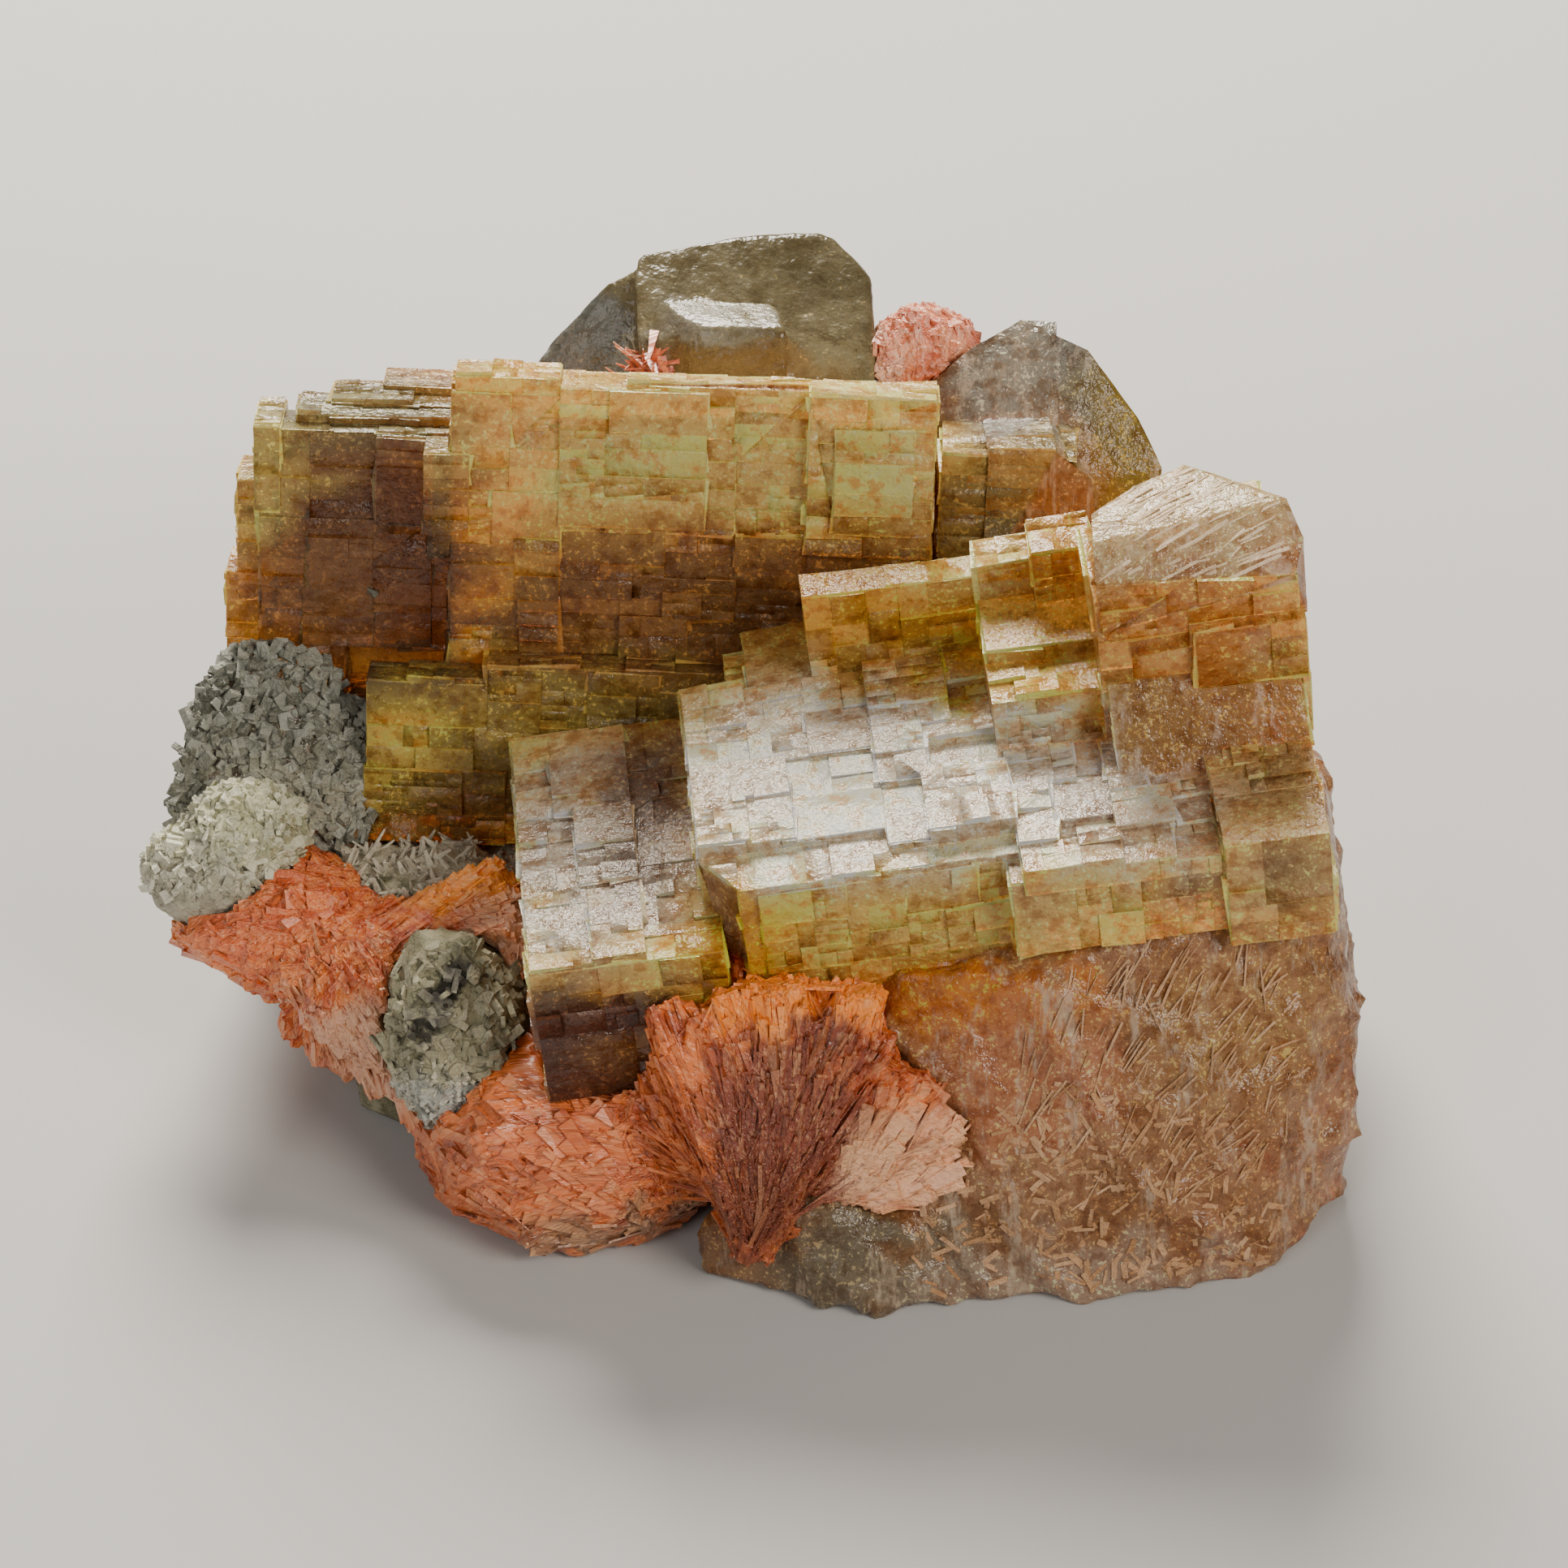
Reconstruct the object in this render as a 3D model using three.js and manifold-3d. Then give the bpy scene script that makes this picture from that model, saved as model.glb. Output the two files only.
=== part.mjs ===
// Yellow fluorite on orange barite matrix, a hand specimen, in millimetres with +Z up.
// X runs to the right, Y away from the viewer, and the specimen rests on a flat base at z = 0.

import * as THREE from "three";
import { ConvexGeometry } from "three/addons/geometries/ConvexGeometry.js";
import { mergeVertices } from "three/addons/utils/BufferGeometryUtils.js";
import Module from "manifold-3d";

const wasm = await Module();
wasm.setup();

// Driving dimensions
const seam = 0.35; // open joint between two neighbouring pieces
const tileDepth = 1.2; // how far a growth tile reaches back into its crystal
const tileLap = 0.04; // how far neighbouring tiles overlap sideways
const baseCut = 80; // width of the block that trims the underside flat

// Each lattice is the common direction of one family of intergrown cubes, tilted in degrees.
const frontLattice = lattice({ at: [-3.5, -22, 31.7], tilt: [3, -6, 5] });
const rearLattice = lattice({ at: [-22.9, 7, 29], tilt: [-11.5, 2, -1] });

const finishes = {
  honeyFluorite: { color: 0xd9b264, roughness: 0.2, metalness: 0 },
  greyFluorite: { color: 0x8b8468, roughness: 0.3, metalness: 0 },
  orangeBarite: { color: 0xc9653a, roughness: 0.5, metalness: 0 },
  drusyCrust: { color: 0xc2bf9a, roughness: 0.6, metalness: 0 },
  greenRock: { color: 0x8c8b70, roughness: 0.85, metalness: 0 },
};

function lattice({ at, tilt }) {
  const [tx, ty, tz] = tilt.map(THREE.MathUtils.degToRad);
  const frame = new THREE.Object3D();
  frame.position.set(...at);
  frame.rotation.set(tx, ty, tz);
  frame.updateMatrix();
  return frame.matrix;
}

function seededRandom(seed) {
  let state = seed;
  return () => {
    state = (state + 0x6d2b79f5) | 0;
    let t = Math.imul(state ^ (state >>> 15), 1 | state);
    t = (t + Math.imul(t ^ (t >>> 7), 61 | t)) ^ t;
    return ((t ^ (t >>> 14)) >>> 0) / 4294967296;
  };
}

function solidOf(geometry) {
  const bare = geometry.clone();
  bare.deleteAttribute("normal");
  bare.deleteAttribute("uv");
  const merged = mergeVertices(bare, 1e-4);
  const mesh = new wasm.Mesh({
    numProp: 3,
    vertProperties: new Float32Array(merged.attributes.position.array),
    triVerts: new Uint32Array(merged.index.array),
  });
  return new wasm.Manifold(mesh);
}

function join(solids) {
  return solids.reduce((whole, next) => whole.add(next));
}

// A cuboid in a lattice: x, y and z are its [low, high] limits, and grow swells it on every side.
function block(frame, { x, y, z }, grow = 0) {
  const size = [x, y, z].map(([low, high]) => high - low + 2 * grow);
  const middle = [x, y, z].map(([low, high]) => (low + high) / 2);
  const geometry = new THREE.BoxGeometry(...size);
  geometry.translate(...middle);
  geometry.applyMatrix4(frame);
  return solidOf(geometry);
}

// A flat-sided solid through corner points, in a lattice or in the specimen's own frame.
function hull(points, frame = null, grow = 0) {
  const corners = points.map((p) => new THREE.Vector3(...p));
  const middle = corners.reduce((sum, p) => sum.add(p), new THREE.Vector3());
  middle.divideScalar(corners.length);
  for (const p of corners) {
    const out = p.clone().sub(middle);
    p.addScaledVector(out.normalize(), grow);
  }
  const geometry = new ConvexGeometry(corners);
  if (frame) geometry.applyMatrix4(frame);
  return solidOf(geometry);
}

// Smooth seeded waves that roughen a broken or lumpy surface.
function ripples(seed, scale) {
  const random = seededRandom(seed);
  const waves = Array.from({ length: 7 }, (unused, i) => ({
    axis: new THREE.Vector3(random() - 0.5, random() - 0.5, random() - 0.5)
      .normalize()
      .multiplyScalar((2 * Math.PI * (1 + 0.45 * i)) / scale),
    phase: random() * 2 * Math.PI,
    height: 1 / (1 + 0.5 * i),
  }));
  return (p) =>
    waves.reduce((sum, w) => sum + w.height * Math.sin(w.axis.dot(p) + w.phase), 0) / 3;
}

// A knobbly ellipsoid: size holds its half widths, turn its rotation in degrees.
function lump({ at, size, turn = [0, 0, 0], rough = 0.6, scale = 9, detail = 3, seed = 1 }, grow = 0) {
  const geometry = new THREE.IcosahedronGeometry(1, detail);
  geometry.scale(size[0] + grow, size[1] + grow, size[2] + grow);
  geometry.applyMatrix4(lattice({ at, tilt: turn }));
  const middle = new THREE.Vector3(...at);
  const wave = ripples(seed, scale);
  const position = geometry.attributes.position;
  for (let i = 0; i < position.count; i += 1) {
    const p = new THREE.Vector3().fromBufferAttribute(position, i);
    const out = p.clone().sub(middle).normalize();
    p.addScaledVector(out, rough * wave(p));
    position.setXYZ(i, p.x, p.y, p.z);
  }
  return solidOf(geometry);
}

// Rectangles left by splitting a crystal face again and again, each with its own growth height.
function splitFace({ a, b }, cell, random) {
  const width = a[1] - a[0];
  const height = b[1] - b[0];
  if (Math.max(width / cell[0], height / cell[1]) < 1.25) return [{ a, b }];
  const share = 0.3 + 0.4 * random();
  if (width / cell[0] > height / cell[1]) {
    const cut = a[0] + share * width;
    return [
      ...splitFace({ a: [a[0], cut], b }, cell, random),
      ...splitFace({ a: [cut, a[1]], b }, cell, random),
    ];
  }
  const cut = b[0] + share * height;
  return [
    ...splitFace({ a, b: [b[0], cut] }, cell, random),
    ...splitFace({ a, b: [cut, b[1]] }, cell, random),
  ];
}

// Parquet of growth tiles on a face that looks up (z level) or to the front (y level).
function parquet(frame, { up, front, x, across, cell, raise, seed }) {
  const random = seededRandom(seed);
  return splitFace({ a: x, b: across }, cell, random).map(({ a, b }) => {
    const height = raise * random();
    const wide = [a[0] - tileLap, a[1] + tileLap];
    const deep = [b[0] - tileLap, b[1] + tileLap];
    if (up !== undefined) {
      return block(frame, { x: wide, y: deep, z: [up - tileDepth, up + height] });
    }
    return block(frame, { x: wide, y: [front - height, front + tileDepth], z: deep });
  });
}

// One tapered barite blade from root to tip, flat side turned by roll degrees about its length.
function blade({ root, tip, wide, thick, roll }) {
  const from = new THREE.Vector3(...root);
  const to = new THREE.Vector3(...tip);
  const length = from.distanceTo(to);
  const outline = new THREE.Shape();
  outline.moveTo(-0.3 * wide, 0);
  outline.lineTo(0.3 * wide, 0);
  outline.lineTo(0.5 * wide, 0.8 * length);
  outline.lineTo(0.28 * wide, length);
  outline.lineTo(-0.38 * wide, 0.96 * length);
  outline.lineTo(-0.5 * wide, 0.75 * length);
  outline.closePath();
  const geometry = new THREE.ExtrudeGeometry(outline, { depth: thick, bevelEnabled: false });
  geometry.translate(0, 0, -thick / 2);
  geometry.rotateY(THREE.MathUtils.degToRad(roll));
  const along = to.clone().sub(from).normalize();
  const turn = new THREE.Quaternion().setFromUnitVectors(new THREE.Vector3(0, 1, 0), along);
  geometry.applyQuaternion(turn);
  geometry.translate(...root);
  return solidOf(geometry);
}

// A sheaf of blades spread between two outer tips from one root.
function sheaf({ root, firstTip, lastTip, count, wide, thick, roll, seed }) {
  const random = seededRandom(seed);
  const from = new THREE.Vector3(...root);
  const start = new THREE.Vector3(...firstTip);
  const end = new THREE.Vector3(...lastTip);
  return Array.from({ length: count }, (unused, i) => {
    const reach = 0.9 + 0.18 * random();
    const tip = start.clone().lerp(end, count > 1 ? i / (count - 1) : 0.5);
    tip.sub(from).multiplyScalar(reach).add(from);
    return blade({
      root: from.toArray(),
      tip: tip.toArray(),
      wide: wide * (0.8 + 0.5 * random()),
      thick,
      roll: roll + 24 * (random() - 0.5),
    });
  });
}

// Front family of cubes: the broad bright terrace, the tall right cube and the low left ramp.
function frontCore(grow = 0) {
  const f = frontLattice;
  return [
    block(f, { x: [0, 38.5], y: [2.6, 22], z: [-20, -0.4] }, grow),
    block(f, { x: [2.6, 24], y: [-1, 5], z: [-12, -0.4] }, grow),
    block(f, { x: [22, 44.5], y: [-3.6, 9], z: [-8, -1.2] }, grow),
    block(f, { x: [5.2, 12], y: [20, 27.6], z: [-8, -0.2] }, grow),
    block(f, { x: [-13.2, 1], y: [-2, 24.5], z: [-17.5, -5] }, grow),
    block(f, { x: [10, 31], y: [20.8, 23.2], z: [-6, 7.7] }, grow),
    block(f, { x: [12, 43], y: [22, 30], z: [-20, 1.6] }, grow),
    block(f, { x: [34, 44.4], y: [17, 25], z: [-12, 9.6] }, grow),
    block(f, { x: [30.6, 45.2], y: [9.4, 18], z: [-16, 13] }, grow),
  ];
}

function frontSteps() {
  const f = frontLattice;
  return [
    block(f, { x: [3.6, 5.6], y: [20.5, 26], z: [-6, -1] }),
    block(f, { x: [22.6, 30.6], y: [10.4, 21], z: [-4, 4.2] }),
    block(f, { x: [22.8, 30.8], y: [14.6, 21.4], z: [0, 5.4] }),
    block(f, { x: [23, 27.5], y: [20.4, 23.6], z: [0, 8.8] }),
    block(f, { x: [27, 31.5], y: [19.4, 23.2], z: [0, 10] }),
    block(f, { x: [37.3, 44.8], y: [-4.4, 5.8], z: [-9, 0.5] }),
    block(f, { x: [37.5, 45.5], y: [8.6, 11], z: [-1, 9.5] }),
    hull(
      [
        [31, 9.4, 5.5], [45, 9.4, 5.5], [31, 4.6, -1], [45, 5, -1],
        [31, 12, -3], [45, 12, -3], [31, 6.2, 1.4], [45, 6.6, 1.4],
      ],
      f,
    ),
    hull(
      [
        [31, 11.6, 16.6], [31.3, 14.5, 16.9], [34.9, 17.5, 16.6], [38.7, 19.1, 16.6],
        [40.8, 17.1, 16.5], [42.8, 15.1, 16.4], [45.3, 14, 16.4], [46, 11.5, 14.6],
        [30.8, 9.4, 14.4], [37.4, 9.3, 14], [45, 9.3, 13.2], [31, 9.4, 10],
        [45.8, 10, 9], [45.6, 18, 10], [32, 19, 10],
      ],
      f,
    ),
    hull(
      [
        [2.6, -1, -0.4], [0, 2.6, -0.4], [2.6, 2.6, -0.4], [4, -1, -9],
        [1.4, 1.4, -8.5], [4, 4, -9.5], [1.2, 4, -8.5],
      ],
      f,
    ),
  ];
}

function frontParquet() {
  const f = frontLattice;
  return [
    ...parquet(f, { up: 0, x: [0.2, 13.8], across: [3, 20.4], cell: [5.4, 5], raise: 0.9, seed: 11 }),
    ...parquet(f, { up: 0, x: [13.8, 23], across: [1.2, 20.6], cell: [5.2, 4.4], raise: 1.1, seed: 23 }),
    ...parquet(f, { up: -0.9, x: [23, 37], across: [-3.8, 9.6], cell: [5.2, 5], raise: 1.3, seed: 37 }),
    ...parquet(f, { up: -5, x: [-13, -4.6], across: [-1.8, 24], cell: [5.4, 6], raise: 0.9, seed: 41 }),
    ...parquet(f, { up: -6.6, x: [-4.6, -0.4], across: [-1.6, 22], cell: [4, 9], raise: 0.8, seed: 43 }),
    ...parquet(f, { front: -1, x: [4, 23], across: [-8.5, -1], cell: [5, 4], raise: 0.3, seed: 53 }),
  ];
}

// Rear family of cubes: the tall golden wall, the darker left wall set back and the low front wall.
function rearCore(grow = 0) {
  const r = rearLattice;
  return [
    block(r, { x: [0, 36], y: [0.2, 3.4], z: [-8, 23.4] }, grow),
    block(r, { x: [-8.6, -0.4], y: [1.4, 6], z: [-8, -3.4] }, grow),
    block(r, { x: [2, 35], y: [3.2, 8], z: [-8, 20.5] }, grow),
    block(r, { x: [3.4, 33], y: [7.6, 12], z: [-14, 18.4] }, grow),
    block(r, { x: [-6, 31], y: [3.2, 15.6], z: [-14, 15.4] }, grow),
    block(r, { x: [-14.6, 0.6], y: [3, 6.6], z: [-6, 18] }, grow),
    block(r, { x: [-13.4, 0.5], y: [6, 13.4], z: [-7, 14.6] }, grow),
    block(r, { x: [-5.9, 20.8], y: [-3.05, 4], z: [-12.8, 0.2] }, grow),
    block(r, { x: [36.6, 46.6], y: [1.8, 9], z: [-4, 18.4] }, grow),
    hull(
      [
        [37.2, 6, 15.6], [45.6, 6, 16], [44.9, 12, 24.2], [38.8, 12, 23.2], [42.3, 13.4, 24.9],
        [45, 13.4, 24.8], [34, 9, 19.4], [33, 11, 18], [36, 16, 14], [46, 16, 16],
        [37, 5, -4], [46, 5, -4], [36, 16, -6], [46, 16, -6],
      ],
      r,
      grow,
    ),
    hull(
      [
        [44.6, 12, 24.4], [47.4, 11, 23.6], [49.4, 10.4, 21.2], [51.4, 9.6, 18.8],
        [53.4, 8, 15.4], [53, 6.4, 8], [45.4, 6.4, 15], [46, 4.6, 4], [51, 17, 10],
        [45, 16, 18], [45, 15, -4], [51, 12, -4], [46, 6, -4],
      ],
      r,
      grow,
    ),
  ];
}

function rearSteps() {
  const r = rearLattice;
  return [
    block(r, { x: [0.3, 8], y: [0, 2.9], z: [10, 24.1] }),
    block(r, { x: [8.1, 19], y: [-0.5, 2.6], z: [12.5, 23.6] }),
    block(r, { x: [13, 26.6], y: [0, 2.2], z: [18, 23.9] }),
    block(r, { x: [26.6, 35.9], y: [-0.8, 2.2], z: [11, 23.8] }),
    block(r, { x: [28.6, 34.4], y: [-1.2, 1], z: [13, 21.4] }),
    block(r, { x: [-2, 1.4], y: [-0.4, 2.8], z: [11.3, 17.9] }),
    block(r, { x: [-1.6, 1], y: [-0.2, 2.6], z: [9.4, 11.6] }),
    block(r, { x: [-14.9, -13], y: [2.6, 8], z: [11.5, 18.2] }),
    block(r, { x: [-16.3, -13.6], y: [4, 8.6], z: [3.4, 13.2] }),
    block(r, { x: [-17.3, -14], y: [5, 10], z: [-4, 5] }),
    block(r, { x: [-11.8, 0.2], y: [4.4, 8.4], z: [10, 18.6] }),
    block(r, { x: [-9.4, 0.4], y: [6.2, 10.2], z: [10, 19] }),
    block(r, { x: [-5.6, 1.4], y: [8.4, 11.8], z: [10, 19.6] }),
    block(r, { x: [3.1, 20.9], y: [-3, 0], z: [-12.8, 1.9] }),
    block(r, { x: [-2.9, 3.2], y: [-2.9, 0], z: [-7.2, 0.7] }),
    block(r, { x: [-6.1, 4.6], y: [-3.25, 0], z: [-13, -6.9] }),
    hull(
      [
        [40, 1.6, 19.2], [45, 1.6, 19.2], [47.8, 1.8, 17], [48.4, 2, 13], [48.2, 8, 13],
        [44.6, 9, 19], [39.6, 9, 18.6], [40, 1.6, 8], [48, 2, 4], [40, 9, 4], [48, 9, 4],
      ],
      r,
    ),
  ];
}

function rearParquet() {
  const r = rearLattice;
  return [
    ...parquet(r, { front: 0.2, x: [0.1, 8.2], across: [-1, 22.8], cell: [5.4, 6], raise: 0.7, seed: 61 }),
    ...parquet(r, { front: 0.1, x: [8.2, 26.6], across: [-1, 18], cell: [7, 5], raise: 0.7, seed: 67 }),
    ...parquet(r, { front: 0.1, x: [26.6, 35.8], across: [2, 11], cell: [5.4, 5], raise: 0.7, seed: 71 }),
    ...parquet(r, { front: 3, x: [-14.4, -1.6], across: [0.4, 17.8], cell: [5.4, 5.6], raise: 0.6, seed: 73 }),
    ...parquet(r, { front: -3, x: [3.2, 16], across: [-7, 1.6], cell: [5.4, 4.4], raise: 0.3, seed: 79 }),
  ];
}

// Dark slot under the left wall.
function slotUnderLeftWall() {
  return block(rearLattice, { x: [-8.2, -0.4], y: [0.5, 5.6], z: [-3.2, 0.2] });
}

// Rough left shoulder, where the cubes fade into a broken slope.
function leftShoulder(grow = 0) {
  return hull(
    [
      [-40, 10, 29.6], [-42.6, 5, 26], [-43.8, 1, 22.8], [-44.2, -1.4, 20.4], [-37, -1.6, 19.4],
      [-29.4, 1, 18.2], [-23.5, 7, 24.6], [-36, 9.5, 30], [-38, 16, 14], [-25, 16, 10],
      [-42.6, 4, 15], [-31, 0.4, 13],
    ],
    null,
    grow,
  );
}

// Massive veined fluorite that carries the cubes at the lower right.
function massiveCore(grow = 0) {
  return [
    hull(
      [
        [10, -22.6, 23], [20, -23.4, 24.6], [30.4, -21.4, 26.6], [41.8, -17.4, 28.6],
        [42.4, -8, 30], [44, -16.4, 22], [44.9, -18.4, 15], [45.3, -20.4, 9.6],
        [44.4, -20.8, 0], [37.4, -28.8, 0], [38.6, -27, 7], [29, -31.9, 0], [28, -29, 11],
        [17, -32, 0], [15, -29.4, 10], [9, -31, 0], [8, -10, 0], [40, 12, 0],
        [43, 10, 20], [12, 8, 8], [30, 14, 22],
      ],
      null,
      grow,
    ),
    hull(
      [
        [7.5, -33.9, 0], [2, -31.6, 0], [-4, -28.8, 0], [-3, -27.4, 5], [4, -30, 8.4],
        [12, -31.4, 7], [17, -32, 0], [14, -20, 0], [-2, -16, 0], [10, -20, 9],
      ],
      null,
      grow,
    ),
  ];
}

function fluoriteCluster() {
  const grown = join([
    ...frontCore(), ...frontSteps(), ...frontParquet(),
    ...rearCore(), ...rearSteps(), ...rearParquet(),
    leftShoulder(), ...massiveCore(),
  ]);
  return grown.subtract(slotUnderLeftWall());
}

// Room that the matrix leaves round the cluster.
function clusterRoom(extra = 0) {
  const grow = seam + extra;
  return join([
    ...frontCore(grow), ...rearCore(grow), leftShoulder(grow), ...massiveCore(grow),
  ]);
}

// Grey crystal that stands behind the golden wall.
function rearFluorite(grow = 0) {
  const body = [
    [-8.7, 28, 52.6], [-4.1, 29, 52.8], [2.1, 31, 52.8], [5.8, 31, 52.8], [7.3, 30, 51.8],
    [9.2, 28, 50.8], [9.5, 24, 48.8], [9.4, 19.4, 46], [-7.6, 18.6, 46], [-8.6, 21, 49.6],
    [-8, 34, 38], [8, 35, 38], [8, 33, 28], [-8, 32, 28], [-7, 18.6, 32], [9, 18.6, 32],
  ];
  const flank = [
    [-8.4, 27.6, 52], [-10.6, 27, 51.3], [-12.7, 25, 48.2], [-15.8, 25, 46], [-16.8, 23.6, 44.6],
    [-16.8, 22, 38], [-8, 20, 44], [-8, 30, 46], [-14, 30, 34], [-8, 19, 30], [-15, 21, 30],
  ];
  const ledge = [
    [-3.9, 20.2, 51.2], [2.7, 19.8, 51.4], [1.9, 24, 51], [-7.2, 24.6, 50.8], [-7.4, 20, 46.4],
    [-3.9, 18.2, 46.8], [2.7, 17.8, 47], [2, 25, 42], [-7, 25, 42], [2.7, 18, 40], [-4, 18.4, 40],
  ];
  return join([body, flank, ledge].map((corners) => hull(corners, null, grow)));
}

function rearBarite(grow = 0) {
  return join([
    lump({ at: [12.6, 24.6, 42.6], size: [5.6, 5, 7.2], turn: [0, 8, 0], rough: 0.7, scale: 5, seed: 5 }, grow),
    lump({ at: [5, 19, 40], size: [9, 4, 6], rough: 0.8, scale: 5, detail: 2, seed: 8 }, grow),
    lump({ at: [2, 24, 30], size: [20, 8, 13], rough: 1, scale: 8, detail: 2, seed: 9 }, grow),
  ]);
}

function frontBariteCore(grow = 0) {
  return [
    lump({ at: [3, -20, 12], size: [13, 9, 12], rough: 0.8, scale: 6, seed: 12 }, grow),
    lump({ at: [-13, -19, 5.4], size: [11.6, 9.4, 8.6], rough: 0.8, scale: 6, seed: 14 }, grow),
  ];
}

function frontBarite() {
  return join([
    ...frontBariteCore(),
    ...sheaf({
      root: [0.4, -31, 4], firstTip: [-6.4, -23.6, 22.6], lastTip: [8, -25, 23.4],
      count: 6, wide: 4.4, thick: 2.8, roll: 8, seed: 16,
    }),
    ...sheaf({
      root: [2, -29.4, 6], firstTip: [9, -26, 22], lastTip: [17, -27.4, 12],
      count: 5, wide: 4.4, thick: 2.4, roll: 30, seed: 18,
    }),
    ...sheaf({
      root: [-8, -24, 12], firstTip: [-20, -25, 9], lastTip: [-16, -27, 2],
      count: 4, wide: 4.6, thick: 2.4, roll: 20, seed: 20,
    }),
  ]);
}

function leftBarite() {
  return join([
    lump({ at: [-34, -5, 14], size: [10.6, 6.5, 5.4], turn: [0, 12, -8], rough: 0.7, scale: 6, seed: 22 }),
    lump({ at: [-26, -9, 11], size: [9, 7, 6.4], turn: [0, 20, -10], rough: 0.7, scale: 6, seed: 24 }),
    ...sheaf({
      root: [-31, -7, 12], firstTip: [-17.6, -9, 21.6], lastTip: [-17.6, -13, 17],
      count: 4, wide: 3.6, thick: 2.4, roll: 60, seed: 26,
    }),
    ...sheaf({
      root: [-29, -6, 15], firstTip: [-34, -9, 5], lastTip: [-24, -17, 5],
      count: 5, wide: 5.4, thick: 2.4, roll: 10, seed: 28,
    }),
  ]);
}

function drusyCrust(grow = 0) {
  return join([
    lump({ at: [-40.4, -4, 18], size: [5.2, 4.4, 4.2], rough: 0.4, scale: 5, detail: 2, seed: 32 }, grow),
    lump({ at: [-38, -2.6, 21], size: [4.6, 3.8, 3.6], rough: 0.5, scale: 4, detail: 2, seed: 34 }, grow),
  ]);
}

// An angular broken chunk: the hull of seeded points on an ellipsoid with half widths size.
function chunk({ at, size, corners, seed }, grow = 0) {
  const random = seededRandom(seed);
  const points = Array.from({ length: corners }, (unused, i) => {
    const height = 1 - (2 * (i + 0.5)) / corners;
    const around = 2.4 * i + 0.8 * random();
    const ring = Math.sqrt(1 - height * height);
    const reach = 0.94 + 0.16 * random();
    const unit = [ring * Math.cos(around), ring * Math.sin(around), height];
    return unit.map((u, axis) => at[axis] + reach * size[axis] * u);
  });
  return hull(points, null, grow);
}

// Greenish altered rock under and behind everything, with the lump that shows beside the ramp.
function hostRock(grow = 0) {
  return join([
    chunk({ at: [-4, 3, 4], size: [29, 24, 14], corners: 60, seed: 42 }, grow),
    chunk({ at: [5, 20, 18], size: [29, 13.5, 21], corners: 60, seed: 44 }, grow),
    chunk({ at: [-25, 13, 10], size: [15, 11, 13], corners: 44, seed: 45 }, grow),
    chunk({ at: [-22, -15, 12], size: [5.8, 6.4, 8.8], corners: 34, seed: 46 }, grow),
    chunk({ at: [-25, -2.6, 15.4], size: [9.4, 4.2, 3.4], corners: 30, seed: 48 }, grow),
  ]);
}

function underside() {
  const geometry = new THREE.BoxGeometry(2 * baseCut, 2 * baseCut, baseCut);
  geometry.translate(0, 0, -baseCut / 2);
  return solidOf(geometry);
}

// The largest body left after a cut; stray slivers are dropped.
function mainBody(solid) {
  const bodies = solid.decompose();
  return bodies.reduce((a, b) => (a.volume() > b.volume() ? a : b));
}

function meshOf(name, solid, finish) {
  const made = solid.getMesh();
  const geometry = new THREE.BufferGeometry();
  geometry.setAttribute("position", new THREE.BufferAttribute(made.vertProperties, 3));
  geometry.setIndex(new THREE.BufferAttribute(made.triVerts, 1));
  geometry.computeVertexNormals();
  const material = new THREE.MeshStandardMaterial({ ...finish, flatShading: true });
  const mesh = new THREE.Mesh(geometry, material);
  mesh.name = name;
  return mesh;
}

function buildSpecimen() {
  const ground = underside();
  const room = clusterRoom();
  const cluster = mainBody(fluoriteCluster().subtract(ground));
  const rearCrystal = mainBody(rearFluorite().subtract(room));
  const rearRoom = rearFluorite(seam);
  const backBarite = mainBody(rearBarite().subtract(room).subtract(rearRoom));
  const crust = mainBody(drusyCrust().subtract(room));
  const crustRoom = drusyCrust(seam);
  const taken = join([room, rearRoom, rearBarite(seam), crustRoom]);
  const rock = mainBody(hostRock().subtract(taken).subtract(ground));
  const besideBarite = join([room, crustRoom, hostRock(seam), ground]);
  const frontPiece = mainBody(frontBarite().subtract(besideBarite));
  const besideLeft = join([besideBarite, ...frontBariteCore(seam)]);
  const leftPiece = mainBody(leftBarite().subtract(besideLeft));
  return [
    meshOf("fluorite_cluster", cluster, finishes.honeyFluorite),
    meshOf("rear_fluorite", rearCrystal, finishes.greyFluorite),
    meshOf("rear_barite", backBarite, finishes.orangeBarite),
    meshOf("front_barite", frontPiece, finishes.orangeBarite),
    meshOf("left_barite", leftPiece, finishes.orangeBarite),
    meshOf("drusy_crust", crust, finishes.drusyCrust),
    meshOf("host_rock", rock, finishes.greenRock),
  ];
}

const specimen = new THREE.Group();
specimen.add(...buildSpecimen());

// The origin is under the middle of the specimen, on the surface that it rests on.
const extent = new THREE.Box3().setFromObject(specimen, true);
const centre = extent.getCenter(new THREE.Vector3());
specimen.position.set(-centre.x, -centre.y, -extent.min.z);

export default specimen;
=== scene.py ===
import math
import random

import bmesh
import bpy
from mathutils import Matrix, Vector, noise
from mathutils.bvhtree import BVHTree


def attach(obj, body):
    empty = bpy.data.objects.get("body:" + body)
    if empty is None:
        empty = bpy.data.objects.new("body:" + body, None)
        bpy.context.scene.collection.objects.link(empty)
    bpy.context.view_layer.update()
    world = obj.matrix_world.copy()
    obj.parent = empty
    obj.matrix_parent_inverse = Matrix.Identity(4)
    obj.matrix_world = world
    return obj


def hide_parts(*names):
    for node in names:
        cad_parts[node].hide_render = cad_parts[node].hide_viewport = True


# Yellow fluorite on orange barite: the looks that go over the CAD solids.
# The script works in metres. Values named ...Mm, the spots of paint, the tufts of blades and the places
# of the lights are in millimetres.

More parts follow.
